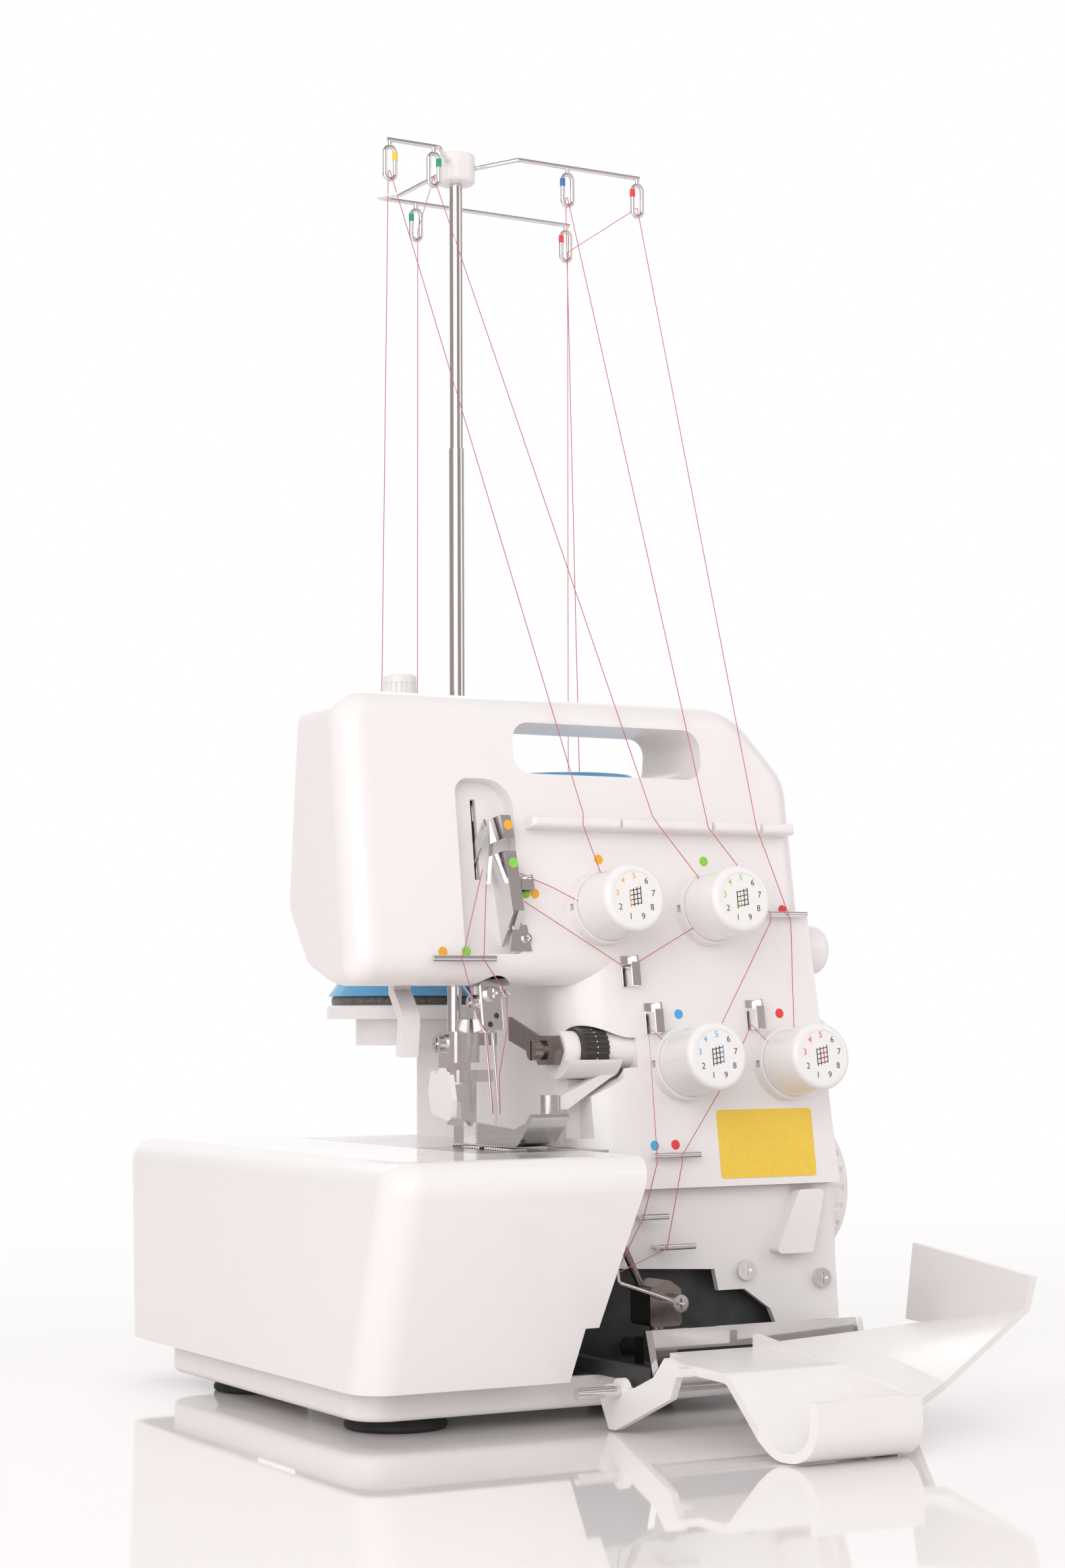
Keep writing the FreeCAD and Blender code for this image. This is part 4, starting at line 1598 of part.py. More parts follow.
def looper_cover():
    rim = sharp([(COVER_BACK, HUMP_Z), (COVER_BACK, 38.0), (TROUGH_FRONT, TROUGH_RIM)])
    rim.append((TROUGH_FRONT, TROUGH_FLOOR, TROUGH_BEND))
    rim += sharp([(HUMP_Y - 29, TROUGH_FLOOR), (HUMP_Y, HUMP_Z - 1.0)])
    partition = prism_x(rim, TROUGH_RIGHT - TROUGH_SHEET, TROUGH_RIGHT)
    low = TABLE_Z + 0.6
    vee = sharp([(-109.0, 18.0), (-118.0, low), (-123.0, low), (-164.0, 20.0), (-171.0, 33.0), (-160.0, 35.0),
                 (-152.0, 27.0), (-134.0, 20.0), (-127.0, 22.0), (-118.0, 21.0)])
    bracket = prism_x(vee, BRACKET_LEFT, BRACKET_LEFT + COVER_SHEET)
    boss = rod((BRACKET_LEFT, HINGE_Y, HINGE_Z), (BRACKET_LEFT + COVER_SHEET, HINGE_Y, HINGE_Z), BRACKET_BOSS)
    tie = box(BRACKET_LEFT, TROUGH_LEFT + 6, -171.0, -160.0, HUMP_Z - COVER_SHEET, HUMP_Z)
    ear = sharp([(COVER_BACK - 12, 34.0), (COVER_BACK, 36.0), (HINGE_Y + 4, HINGE_Z + 4),
                 (HINGE_Y + 4, HINGE_Z - 4), (HINGE_Y - 4, HINGE_Z - 4)])
    ear = prism_x(ear, COVER_EAR_LEFT, COVER_EAR_LEFT + COVER_SHEET)
    pin_hole = hinge_rod(HINGE_LEFT, HINGE_RIGHT + 9, HINGE_PIN_RADIUS + RUN_GAP)
    return fuse([cover_trough(), partition, bracket, boss, tie, ear] + cover_wing()).cut(pin_hole)


def thread_runs():
    """Free stretches of the four threads between the reel caps, the eyes and the ledge."""
    eye_z = WIRE_Z - EYE_DROP - EYE_HEIGHT + 1.5
    ledge_y = panel_y(LEDGE_TOP) - LEDGE_OUT - 3.5
    rear = [(x, y - EYE_PASS) for x, y in REAR_EYES]
    eyes = [[FRONT_EYES[0]], [rear[0], FRONT_EYES[1]], [FRONT_EYES[2]], [rear[1], FRONT_EYES[3]]]
    ledge_x = (-8.0, 26.0, 53.0, 78.0)
    runs = []
    for spool, stops, x in zip(SPOOL_PLACES, eyes, ledge_x):
        way = V(stops[0][0] - spool[0], stops[0][1] - spool[1], 0)
        way.normalize()
        rim = V(spool[0], spool[1], REEL_TOP + 0.02) + way * REEL_TOP_RADIUS * 0.9
        spots = [tuple(rim)]
        if len(stops) == 1:
            spots.append((stops[0][0], stops[0][1] + EYE_PASS, eye_z))
        spots += [(ex, ey, eye_z) for ex, ey in stops]
        spots.append((x, ledge_y, LEDGE_TOP + 2.0))
        pieces = [rod(first, last, THREAD_RADIUS) for first, last in zip(spots, spots[1:])]
        joints = [Part.makeSphere(THREAD_RADIUS * 1.02, V(*spot)) for spot in spots[1:-1]]
        runs.append(fuse(pieces + joints))
    return group(runs)


def parts():
    case = casing()
    made = {
        "base_tray": base_tray(),
        "rubber_feet": rubber_feet(),
        "bed_cover": bed_cover(),
        "front_shell": front_shell(case),
        "rear_shell": rear_shell(case),
        "lower_front_cover": lower_front_cover(),
        "cover_screws": cover_screws(),
        "lower_housing": lower_housing(),
        "frame_casting": frame_casting(),
        "take_up_lever": take_up_lever(),
        "take_up_cover_upper": take_up_cover_upper(),
        "take_up_cover_lower": take_up_cover_lower(),
        "thread_clips": thread_clips(),
        "thread_guide_bars": thread_guide_bars(),
        "tension_collars": tension_collars(),
        "tension_posts": tension_posts(),
        "needle_bar": needle_bar(),
        "needle_clamp": needle_clamp(),
        "needles": needles(),
        "presser_bar": presser_bar(),
        "presser_holder": presser_holder(),
        "presser_foot": presser_foot(),
        "foot_guard": foot_guard(),
        "presser_lifter": presser_lifter(),
        "upper_knife_arm": upper_knife_arm(),
        "upper_knife": upper_knife(),
        "knife_knob": knife_knob(),
        "knife_lever": knife_lever(),
        "needle_plate": needle_plate(),
        "feed_dog_main": feed_dog_main(),
        "feed_dog_differential": feed_dog_differential(),
        "lower_looper": lower_looper(),
        "upper_looper": upper_looper(),
        "looper_thread_arm": looper_thread_arm(),
        "main_shaft": main_shaft(),
        "shaft_bushes": shaft_bushes(),
        "handwheel": handwheel(),
        "motor": motor(),
        "motor_pulley": motor_pulley(),
        "drive_belt": drive_belt(),
        "power_inlet": power_inlet(),
        "power_switch": power_switch(),
        "spool_tray": spool_tray(),
        "foam_pads": foam_pads(),
        "spool_reels": spool_reels(),
        "thread_windings": thread_windings(),
        "spool_cap": spool_cap(),
        "pole_outer": pole_outer(),
        "pole_inner": pole_inner(),
        "guide_hub": guide_hub(),
        "guide_wires": guide_wires(),
        "hinge_bar": hinge_bar(),
        "looper_cover": looper_cover(),
        "thread_runs": thread_runs(),
    }
    for i, place in enumerate(DIAL_PLACES):
        made[f"tension_dial_{i + 1}"] = tension_dial(place)
    for name, place in SIDE_DIALS.items():
        made[name] = side_dial(place)
    return made


def write_parts():
    os.makedirs("parts", exist_ok=True)
    for name, shape in parts().items():
        placed = shape.copy()
        placed.translate(V(-ORIGIN_X, -ORIGIN_Y, -TABLE_Z))
        placed.exportStep(os.path.join("parts", name + ".step"))
        print(name, len(placed.Solids), round(placed.Volume), placed.isValid())


write_parts()
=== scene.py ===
import json
import math

import bmesh
import bpy
from mathutils import Matrix, Vector

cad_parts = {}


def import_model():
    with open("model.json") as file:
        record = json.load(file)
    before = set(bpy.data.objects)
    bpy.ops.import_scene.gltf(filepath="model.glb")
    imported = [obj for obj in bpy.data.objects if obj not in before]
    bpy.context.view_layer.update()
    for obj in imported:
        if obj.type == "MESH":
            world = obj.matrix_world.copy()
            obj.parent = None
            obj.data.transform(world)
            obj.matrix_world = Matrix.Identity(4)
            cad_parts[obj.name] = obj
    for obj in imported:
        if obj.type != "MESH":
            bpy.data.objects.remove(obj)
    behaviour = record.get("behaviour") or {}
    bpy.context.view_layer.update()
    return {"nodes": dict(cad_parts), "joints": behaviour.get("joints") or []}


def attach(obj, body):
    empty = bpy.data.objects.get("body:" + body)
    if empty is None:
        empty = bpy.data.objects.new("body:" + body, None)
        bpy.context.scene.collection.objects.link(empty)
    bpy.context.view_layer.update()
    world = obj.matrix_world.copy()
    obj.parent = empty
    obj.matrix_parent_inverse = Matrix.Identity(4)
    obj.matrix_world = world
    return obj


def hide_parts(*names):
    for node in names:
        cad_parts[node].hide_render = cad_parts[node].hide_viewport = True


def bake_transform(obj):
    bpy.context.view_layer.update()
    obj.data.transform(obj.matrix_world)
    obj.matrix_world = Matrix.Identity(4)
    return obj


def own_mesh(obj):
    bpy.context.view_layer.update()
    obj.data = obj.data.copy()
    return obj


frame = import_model()
NODES = frame["nodes"]
JOINTS = {joint["name"]: joint for joint in frame["joints"]}

# All sizes and places below are millimetres. Places are in the drawing, whose zero lies at DRAWING_ZERO
# of the frame.
MM = 0.001
DRAWING_ZERO = Vector((1.8, 41.8, -3.0))

# Camera of the photograph
CAMERA_PLACE = (-601.1, -1094.3, 164.6)
CAMERA_YAW = 0.501
CAMERA_PITCH = 0.081
CAMERA_ROLL = -0.005
CAMERA_LENS = 65.42
CAMERA_SENSOR = 36.0

# Tension dials: face, digits and stitch sign
DIAL_FACE_DEPTH = 29.7
DIGIT_RING = 8.8
DIGIT_SIZE = 3.7
DIGIT_STEP = 40.0
TOP_DIGIT = 5
MARK_THICK = 0.06
SIGN_WIDTH = 5.2
SIGN_HEIGHT = 9.0
SIGN_BAR = 0.45

# Printed dots and the plain yellow plate on the panel
DOT_RADIUS = 2.1
DOT_THICK = 0.12
PLATE_LEFT = 52.8
PLATE_RIGHT = 101.2
PLATE_BOTTOM = 95.2
PLATE_TOP = 124.0
PLATE_CORNER = 1.6
PLATE_THICK = 0.25

# Reels, their windings and pads
SPOOLS = ((-32.5, 70.0), (10.0, 120.0), (54.5, 70.0), (99.0, 120.0))
REEL_CORE = 12.2
WINDING_RADIUS = 26.0
WINDING_LOW = 180.8
WINDING_HIGH = 271.8
WINDING_BARREL = 1.4
TURN_PITCH = 0.9
PAD_RADIUS = 31.0
PAD_HOLE = 3.3
PAD_LOW = 169.5
PAD_HIGH = 173.5

# Threads
THREAD_RADIUS = 0.19
EYE_Z = 551.5
REEL_TOP = 276.0
LEDGE_Y = -55.5
LEDGE_Z = 249.0


def spot(x, y, z):
    """A place of the drawing, as a point of the frame in metres."""
    return (Vector((x, y, z)) + DRAWING_ZERO) * MM


def millimetres(vector):
    """A point of the frame, as a place of the drawing."""
    return vector / MM - DRAWING_ZERO


PANEL_OUT = Vector(JOINTS["tension_dial_1_turn"]["axis"]).normalized()
PANEL_UP = PANEL_OUT.cross(Vector((1, 0, 0)))
PANEL_SPOT = millimetres(Vector(JOINTS["tension_dial_1_turn"]["pos_m"]))


def panel_spot(x, z, out=0.0):
    """The point of the slanted panel at x and height z, lifted out of it."""
    y = PANEL_SPOT.y - PANEL_OUT.z * (z - PANEL_SPOT.z) / PANEL_OUT.y
    return spot(x, y, z) + PANEL_OUT * out * MM


def panel_matrix(x, z, out=0.0):
    """Frame whose X runs along the panel, Y up it and Z out of it."""
    axes = Matrix((Vector((1, 0, 0)), PANEL_UP, PANEL_OUT)).transposed().to_4x4()
    return Matrix.Translation(panel_spot(x, z, out)) @ axes


def link_object(name, data):
    piece = bpy.data.objects.new(name, data)
    bpy.context.scene.collection.objects.link(piece)
    return piece


def piece_from(name, bm, materials, smooth=True):
    """Mesh object of a finished bmesh, which is freed."""
    bmesh.ops.recalc_face_normals(bm, faces=bm.faces)
    mesh = bpy.data.meshes.new(name)
    bm.to_mesh(mesh)
    bm.free()
    for material in materials:
        mesh.materials.append(material)
    if smooth:
        mesh.shade_smooth()
    return link_object(name, mesh)


def add_lathe(bm, profile, matrix, steps=48, index=0):
    """Adds a solid of revolution about Z through (radius, height) points, closed at both ends."""
    rings = []
    for radius, height in profile:
        ring = []
        for i in range(steps):
            turn = 2 * math.pi * i / steps
            place = Vector((radius * math.cos(turn), radius * math.sin(turn), height))
            ring.append(bm.verts.new(matrix @ place))
        rings.append(ring)
    faces = []
    for low, high in zip(rings, rings[1:]):
        for i in range(steps):
            j = (i + 1) % steps
            faces.append(bm.faces.new((low[i], low[j], high[j], high[i])))
    faces.append(bm.faces.new(list(reversed(rings[0]))))
    faces.append(bm.faces.new(rings[-1]))
    for face in faces:
        face.material_index = index


def add_bar(bm, start, end, width, thick, matrix, index=0):
    """Adds a flat bar from start to end in the XY plane of matrix."""
    start = Vector(start)
    way = Vector(end) - start
    side = Vector((-way.y, way.x, 0)).normalized() * width / 2
    lift = Vector((0, 0, thick))
    corners = []
    for base in (start - side, start + way - side, start + way + side, start + side):
        corners.append((bm.verts.new(matrix @ base), bm.verts.new(matrix @ (base + lift))))
    faces = [bm.faces.new([c[0] for c in reversed(corners)]), bm.faces.new([c[1] for c in corners])]
    for first, second in zip(corners, corners[1:] + corners[:1]):
        faces.append(bm.faces.new((first[0], second[0], second[1], first[1])))
    for face in faces:
        face.material_index = index


def new_material(name, colour, rough, metal=0.0):
    """Material with a Principled shader and a node that gives the piece's own coordinates."""
    material = bpy.data.materials.new(name)
    material.use_nodes = True
    shader = material.node_tree.nodes["Principled BSDF"]
    shader.inputs["Base Color"].default_value = (*colour, 1.0)
    shader.inputs["Roughness"].default_value = rough
    shader.inputs["Metallic"].default_value = metal
    material.node_tree.nodes.new("ShaderNodeTexCoord")
    return material, shader


def add_node(material, kind, **values):
    made = material.node_tree.nodes.new(kind)
    for key, value in values.items():
        made.inputs[key.replace("_", " ")].default_value = value
    return made


def join(material, first, second):
    material.node_tree.links.new(first, second)


def noise(material, scale, detail=2.0, stretch=(1, 1, 1)):
    """Noise in the piece's own coordinates, scale in features per metre."""
    where = material.node_tree.nodes["Texture Coordinate"].outputs["Object"]
    if stretch != (1, 1, 1):
        mapping = add_node(material, "ShaderNodeMapping", Scale=stretch)
        join(material, where, mapping.inputs["Vector"])
        where = mapping.outputs["Vector"]
    made = add_node(material, "ShaderNodeTexNoise", Scale=scale, Detail=detail)
    join(material, where, made.inputs["Vector"])
    return made.outputs["Fac"]


def tint(material, shader, factor, dark, pale):
    """Lets the base colour wander between two colours."""
    ramp = material.node_tree.nodes.new("ShaderNodeValToRGB")
    ramp.color_ramp.elements[0].position = 0.3
    ramp.color_ramp.elements[0].color = (*dark, 1.0)
    ramp.color_ramp.elements[1].position = 0.7
    ramp.color_ramp.elements[1].color = (*pale, 1.0)
    join(material, factor, ramp.inputs["Fac"])
    join(material, ramp.outputs["Color"], shader.inputs["Base Color"])


def gloss(material, shader, factor, low, high):
    """Lets the roughness wander between two values."""
    spread = add_node(material, "ShaderNodeMapRange", To_Min=low, To_Max=high)
    join(material, factor, spread.inputs["Value"])
    join(material, spread.outputs["Result"], shader.inputs["Roughness"])


def grain(material, shader, factor, strength, height):
    """Surface relief of that height in millimetres."""
    bump = add_node(material, "ShaderNodeBump", Strength=strength, Distance=height * MM)
    join(material, factor, bump.inputs["Height"])
    join(material, bump.outputs["Normal"], shader.inputs["Normal"])


def shade(colour, share):
    return tuple(channel * share for channel in colour)


def moulded(name, colour, low, high, relief=0.012, spread=0.006):
    """Injection-moulded plastic: faint flow marks in colour and gloss, and a fine spark-eroded grain."""
    material, shader = new_material(name, colour, low)
    flow = noise(material, 18.0, 3.0)
    tint(material, shader, flow, shade(colour, 1 - spread), shade(colour, 1 + spread))
    gloss(material, shader, noise(material, 45.0, 4.0), low, high)
    grain(material, shader, noise(material, 900.0, 2.0), 0.12, relief)
    shader.inputs["Specular IOR Level"].default_value = 0.5
    return material


def plated(name, colour, low, high):
    """Bright plated steel with faint cloudy polish marks."""
    material, shader = new_material(name, colour, low, 1.0)
    tint(material, shader, noise(material, 120.0, 3.0), shade(colour, 0.97), colour)
    gloss(material, shader, noise(material, 260.0, 4.0), low, high)
    grain(material, shader, noise(material, 700.0, 2.0), 0.03, 0.005)
    return material


def ground_steel(name, colour, stretch, low, high):
    """Ground steel with fine lines along one direction."""
    material, shader = new_material(name, colour, low, 1.0)
    lines = noise(material, 900.0, 3.0, stretch)
    tint(material, shader, lines, shade(colour, 0.93), colour)
    gloss(material, shader, lines, low, high)
    grain(material, shader, lines, 0.06, 0.01)
    return material


def cast_paint(name, colour):
    """Black paint over a sand-cast surface, worn a little paler in patches."""
    material, shader = new_material(name, colour, 0.5)
    tint(material, shader, noise(material, 60.0, 5.0), shade(colour, 0.7), shade(colour, 1.7))
    gloss(material, shader, noise(material, 140.0, 3.0), 0.35, 0.6)
    grain(material, shader, noise(material, 420.0, 4.0), 0.6, 0.15)
    return material


def rubber(name, colour):
    material, shader = new_material(name, colour, 0.7)
    tint(material, shader, noise(material, 90.0, 3.0), shade(colour, 0.8), shade(colour, 1.5))
    gloss(material, shader, noise(material, 200.0, 3.0), 0.5, 0.75)
    grain(material, shader, noise(material, 800.0, 3.0), 0.5, 0.06)
    return material


def felt(name, colour):
    """Felted foam: a cellular surface with loose fibres."""
    material, shader = new_material(name, colour, 0.95)
    tint(material, shader, noise(material, 700.0, 5.0), shade(colour, 0.55), shade(colour, 1.3))
    grain(material, shader, noise(material, 1100.0, 5.0), 0.9, 0.4)
    shader.inputs["Sheen Weight"].default_value = 0.4
    return material


def wound(name, colour, pitch):
    """Sewing thread: fine turns side by side, pitch millimetres apart along Z, with painted shade in the
    grooves between turns.
    """
    material, shader = new_material(name, colour, 0.7)
    waves = add_node(material, "ShaderNodeTexWave", Scale=1.0 / (pitch * MM) / 6.28, Distortion=1.2, Detail=2.0)
    waves.bands_direction = "Z"
    where = material.node_tree.nodes["Texture Coordinate"].outputs["Object"]
    join(material, where, waves.inputs["Vector"])
    # Darker where the turns dip: painted shade in the grooves between them
    tint(material, shader, waves.outputs["Fac"], shade(colour, 0.72), colour)
    grain(material, shader, waves.outputs["Fac"], 0.6, 0.2)
    shader.inputs["Sheen Weight"].default_value = 0.25
    return material


def ink(name, colour):
    """Printed ink or foil with a slightly uneven film."""
    material, shader = new_material(name, colour, 0.45)
    tint(material, shader, noise(material, 500.0, 3.0), shade(colour, 0.94), colour)
    gloss(material, shader, noise(material, 300.0, 2.0), 0.35, 0.5)
    return material


WHITE = (0.87, 0.83, 0.82)
MATERIALS = {
    "casing_white": moulded("casing_white", WHITE, 0.20, 0.27),
    "bed_white": moulded("bed_white", (0.88, 0.845, 0.835), 0.07, 0.12, 0.006),
    "dial_white": moulded("dial_white", (0.88, 0.85, 0.84), 0.16, 0.22),
    "cover_white": moulded("cover_white", (0.87, 0.835, 0.825), 0.22, 0.30),
    "tray_white": moulded("tray_white", (0.87, 0.835, 0.825), 0.26, 0.34),
    "reel_blue": moulded("reel_blue", (0.13, 0.40, 0.68), 0.18, 0.26, 0.012, 0.03),
    "black_plastic": moulded("black_plastic", (0.025, 0.025, 0.027), 0.35, 0.5, 0.03, 0.2),
    "knob_black": moulded("knob_black", (0.052, 0.043, 0.040), 0.30, 0.42, 0.02, 0.1),
    "plated_steel": plated("plated_steel", (0.78, 0.77, 0.765), 0.07, 0.15),
    "satin_steel": plated("satin_steel", (0.80, 0.79, 0.785), 0.16, 0.21),
    "pole_steel": plated("pole_steel", (0.72, 0.70, 0.69), 0.09, 0.15),
    "ground_steel": ground_steel("ground_steel", (0.70, 0.69, 0.685), (1.0, 0.05, 1.0), 0.16, 0.28),
    "bar_steel": ground_steel("bar_steel", (0.66, 0.65, 0.645), (1.0, 1.0, 0.04), 0.14, 0.24),
    "dark_steel": ground_steel("dark_steel", (0.30, 0.265, 0.25), (1.0, 0.3, 0.3), 0.16, 0.28),
    "bronze": ground_steel("bronze", (0.45, 0.31, 0.15), (1.0, 0.1, 1.0), 0.3, 0.45),
    "cast_black": cast_paint("cast_black", (0.05, 0.05, 0.052)),
    "rubber_black": rubber("rubber_black", (0.02, 0.02, 0.021)),
    "felt_grey": felt("felt_grey", (0.15, 0.13, 0.12)),
    "winding_white": wound("winding_white", (0.80, 0.79, 0.78), 0.5),
    "thread_red": wound("thread_red", (0.74, 0.13, 0.19), 0.3),
    "ink_black": ink("ink_black", (0.05, 0.05, 0.055)),
    "ink_orange": ink("ink_orange", (0.93, 0.45, 0.03)),
    "ink_green": ink("ink_green", (0.28, 0.68, 0.06)),
    "ink_blue": ink("ink_blue", (0.08, 0.42, 0.78)),
    "ink_red": ink("ink_red", (0.85, 0.05, 0.05)),
    "band_green": ink("band_green", (0.02, 0.36, 0.20)),
    "band_blue": ink("band_blue", (0.06, 0.17, 0.52)),
    "plate_yellow": ink("plate_yellow", (0.93, 0.63, 0.07)),
}

# Material of every solid that shows as it was constructed
NODE_MATERIALS = {
    "casing_white": ["front_shell", "rear_shell", "lower_front_cover", "lower_housing", "upper_knife_arm",
                     "presser_lifter", "foot_guard", "stitch_length_dial", "differential_dial", "handwheel",
                     "guide_hub", "spool_cap"],
    "bed_white": ["bed_cover", "base_tray"],
    "dial_white": ["tension_dial_1", "tension_dial_2", "tension_dial_3", "tension_dial_4", "tension_collars"],
    "cover_white": ["looper_cover"],
    "tray_white": ["spool_tray"],
    "reel_blue": ["spool_reels"],
    "black_plastic": ["power_inlet", "power_switch", "motor", "motor_pulley"],
    "plated_steel": ["take_up_cover_upper", "take_up_cover_lower", "thread_clips", "thread_guide_bars",
                     "guide_wires", "cover_screws", "hinge_bar"],
    "satin_steel": ["needle_clamp", "presser_holder"],
    "pole_steel": ["pole_outer", "pole_inner"],
    "ground_steel": ["presser_foot", "needle_plate", "feed_dog_main", "feed_dog_differential", "upper_knife",
                     "take_up_lever", "upper_looper", "looper_thread_arm", "main_shaft", "tension_posts"],
    "bar_steel": ["needle_bar", "presser_bar", "needles"],
    "dark_steel": ["knife_lever", "lower_looper"],
    "knob_black": ["knife_knob"],
    "bronze": ["shaft_bushes"],
    "cast_black": ["frame_casting"],
    "rubber_black": ["rubber_feet", "drive_belt"],
    "felt_grey": ["foam_pads"],
    "winding_white": ["thread_windings"],
    "thread_red": ["thread_runs"],
}


def dress_nodes():
    for name, nodes in NODE_MATERIALS.items():
        for node in nodes:
            data = NODES[node].data
            data.materials.clear()
            data.materials.append(MATERIALS[name])


def digit_mesh(text):
    """Flat mesh of one digit, centred on its origin."""
    curve = bpy.data.curves.new("digit", "FONT")
    curve.body = text
    curve.size = DIGIT_SIZE * MM
    curve.align_x = "CENTER"
    curve.align_y = "CENTER"
    curve.extrude = MARK_THICK * MM / 2
    holder = link_object("digit", curve)
    mesh = bpy.data.meshes.new_from_object(holder.evaluated_get(bpy.context.evaluated_depsgraph_get()))
    bpy.data.objects.remove(holder)
    return mesh


def stitch_sign(bm, matrix, accent_column):
    """Plain grid of stitches: upright thread lines with short slanted crossings."""
    columns = 4
    for i in range(columns):
        x = (i / (columns - 1) - 0.5) * SIGN_WIDTH
        index = 1 if i == accent_column else 0
        foot = -SIGN_HEIGHT / 2 + 0.5 * i
        add_bar(bm, (x * MM, foot * MM, 0), (x * MM, (foot + SIGN_HEIGHT - 1.5) * MM, 0),
                SIGN_BAR * MM, MARK_THICK * MM, matrix, index)
    for k in range(4):
        y = (k / 3 - 0.5) * (SIGN_HEIGHT - 3.0)
        add_bar(bm, (-SIGN_WIDTH / 2 * MM, (y - 0.5) * MM, 0), (SIGN_WIDTH / 2 * MM, (y + 0.5) * MM, 0),
                SIGN_BAR * 0.8 * MM, MARK_THICK * MM, matrix)


def dial_marks(number, accent, accent_column):
    """Digits 1 to 9 round the dial's face, with three of them and one stitch line in the dial's colour."""
    joint = JOINTS[f"tension_dial_{number}_turn"]
    centre = millimetres(Vector(joint["pos_m"]))
    matrix = panel_matrix(centre.x, centre.z, DIAL_FACE_DEPTH)
    bm = bmesh.new()
    for step in range(9):
        digit = (TOP_DIGIT - 1 + step) % 9 + 1
        turn = math.radians(DIGIT_STEP * step)
        place = Vector((math.sin(turn), math.cos(turn), 0)) * DIGIT_RING * MM
        mesh = digit_mesh(str(digit))
        mesh.transform(matrix @ Matrix.Translation(place + Vector((0, 0, MARK_THICK * MM / 2))))
        first = len(bm.faces)
        bm.from_mesh(mesh)
        bm.faces.ensure_lookup_table()
        for face in bm.faces[first:]:
            face.material_index = 1 if digit in (3, 4, 5) else 0
        bpy.data.meshes.remove(mesh)
    stitch_sign(bm, matrix, accent_column)
    marks = piece_from(f"dial_marks_{number}", bm, [MATERIALS["ink_black"], MATERIALS[accent]], smooth=False)
    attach(marks, f"tension_dial_{number}")


# Ink and stitch line of each dial
DIAL_ACCENTS = (("ink_orange", 0), ("ink_green", 1), ("ink_blue", 3), ("ink_red", 2))

# Dots as (name, x, z, ink, distance out of the panel)
DOTS = (
    ("orange_dial", 4.5, 230.5, "ink_orange", 0.0),
    ("green_dial", 57.2, 230.8, "ink_green", 0.0),
    ("blue_dial", 38.1, 164.8, "ink_blue", 0.0),
    ("red_dial", 89.5, 164.9, "ink_red", 0.0),
    ("red_bar", 95.9, 210.2, "ink_red", 0.0),
    ("blue_bar", 21.1, 109.9, "ink_blue", 0.0),
    ("red_lower_bar", 31.3, 110.0, "ink_red", 0.0),
    ("orange_left", -72.5, 190.7, "ink_orange", 0.0),
    ("green_left", -61.7, 190.9, "ink_green", 0.0),
    ("orange_pocket", -27.6, 215.4, "ink_orange", 0.0),
    ("green_pocket", -32.0, 215.4, "ink_green", 0.0),
    ("orange_guard", -41.7, 242.8, "ink_orange", 6.8),
    ("green_guard", -40.4, 226.9, "ink_green", 6.8),
)


def dots():
    for name, x, z, colour, out in DOTS:
        bm = bmesh.new()
        profile = [(DOT_RADIUS, 0.0), (DOT_RADIUS, DOT_THICK * 0.6), (DOT_RADIUS * 0.94, DOT_THICK)]
        add_lathe(bm, [(r * MM, h * MM) for r, h in profile], panel_matrix(x, z, out), 32)
        dot = piece_from(f"dot_{name}", bm, [MATERIALS[colour]], smooth=False)
        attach(dot, "machine")


def yellow_plate():
    """Plain rounded plate under the right-hand dials."""
    bm = bmesh.new()
    width = PLATE_RIGHT - PLATE_LEFT
    height = (PLATE_TOP - PLATE_BOTTOM) / PANEL_UP.z
    matrix = panel_matrix((PLATE_LEFT + PLATE_RIGHT) / 2, (PLATE_BOTTOM + PLATE_TOP) / 2)
    loop = []
    for corner in range(4):
        sign_x = 1 if corner in (0, 3) else -1
        sign_y = 1 if corner in (0, 1) else -1
        for step in range(7):
            turn = math.radians(90 * corner + 15 * step)
            x = sign_x * (width / 2 - PLATE_CORNER) + PLATE_CORNER * math.cos(turn)
            y = sign_y * (height / 2 - PLATE_CORNER) + PLATE_CORNER * math.sin(turn)
            loop.append((x, y))
    low = [bm.verts.new(matrix @ Vector((x * MM, y * MM, 0))) for x, y in loop]
    high = [bm.verts.new(matrix @ Vector((x * MM, y * MM, PLATE_THICK * MM))) for x, y in loop]
    bm.faces.new(list(reversed(low)))
    bm.faces.new(high)
    for i in range(len(loop)):
        j = (i + 1) % len(loop)
        bm.faces.new((low[i], low[j], high[j], high[i]))
    plate = piece_from("plain_plate", bm, [MATERIALS["plate_yellow"]], smooth=False)
    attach(plate, "machine")


def thread_curve(name, points, radius=THREAD_RADIUS, material="thread_red"):
    """Taut thread or bent wire through the given places of the drawing."""
    curve = bpy.data.curves.new(name, "CURVE")
    curve.dimensions = "3D"
    curve.bevel_depth = radius * MM
    curve.bevel_resolution = 2
    curve.use_fill_caps = True
    curve.materials.append(MATERIALS[material])
    spline = curve.splines.new("POLY")
    spline.points.add(len(points) - 1)
    for point, place in zip(spline.points, points):
        point.co = (*spot(*place), 1.0)
    return link_object(name, curve)


def as_mesh(curve_object):
    """The same piece as a mesh, under the same name."""
    name = curve_object.name
    evaluated = curve_object.evaluated_get(bpy.context.evaluated_depsgraph_get())
    mesh = bpy.data.meshes.new_from_object(evaluated)
    bpy.data.objects.remove(curve_object)
    mesh.name = name
    return link_object(name, mesh)


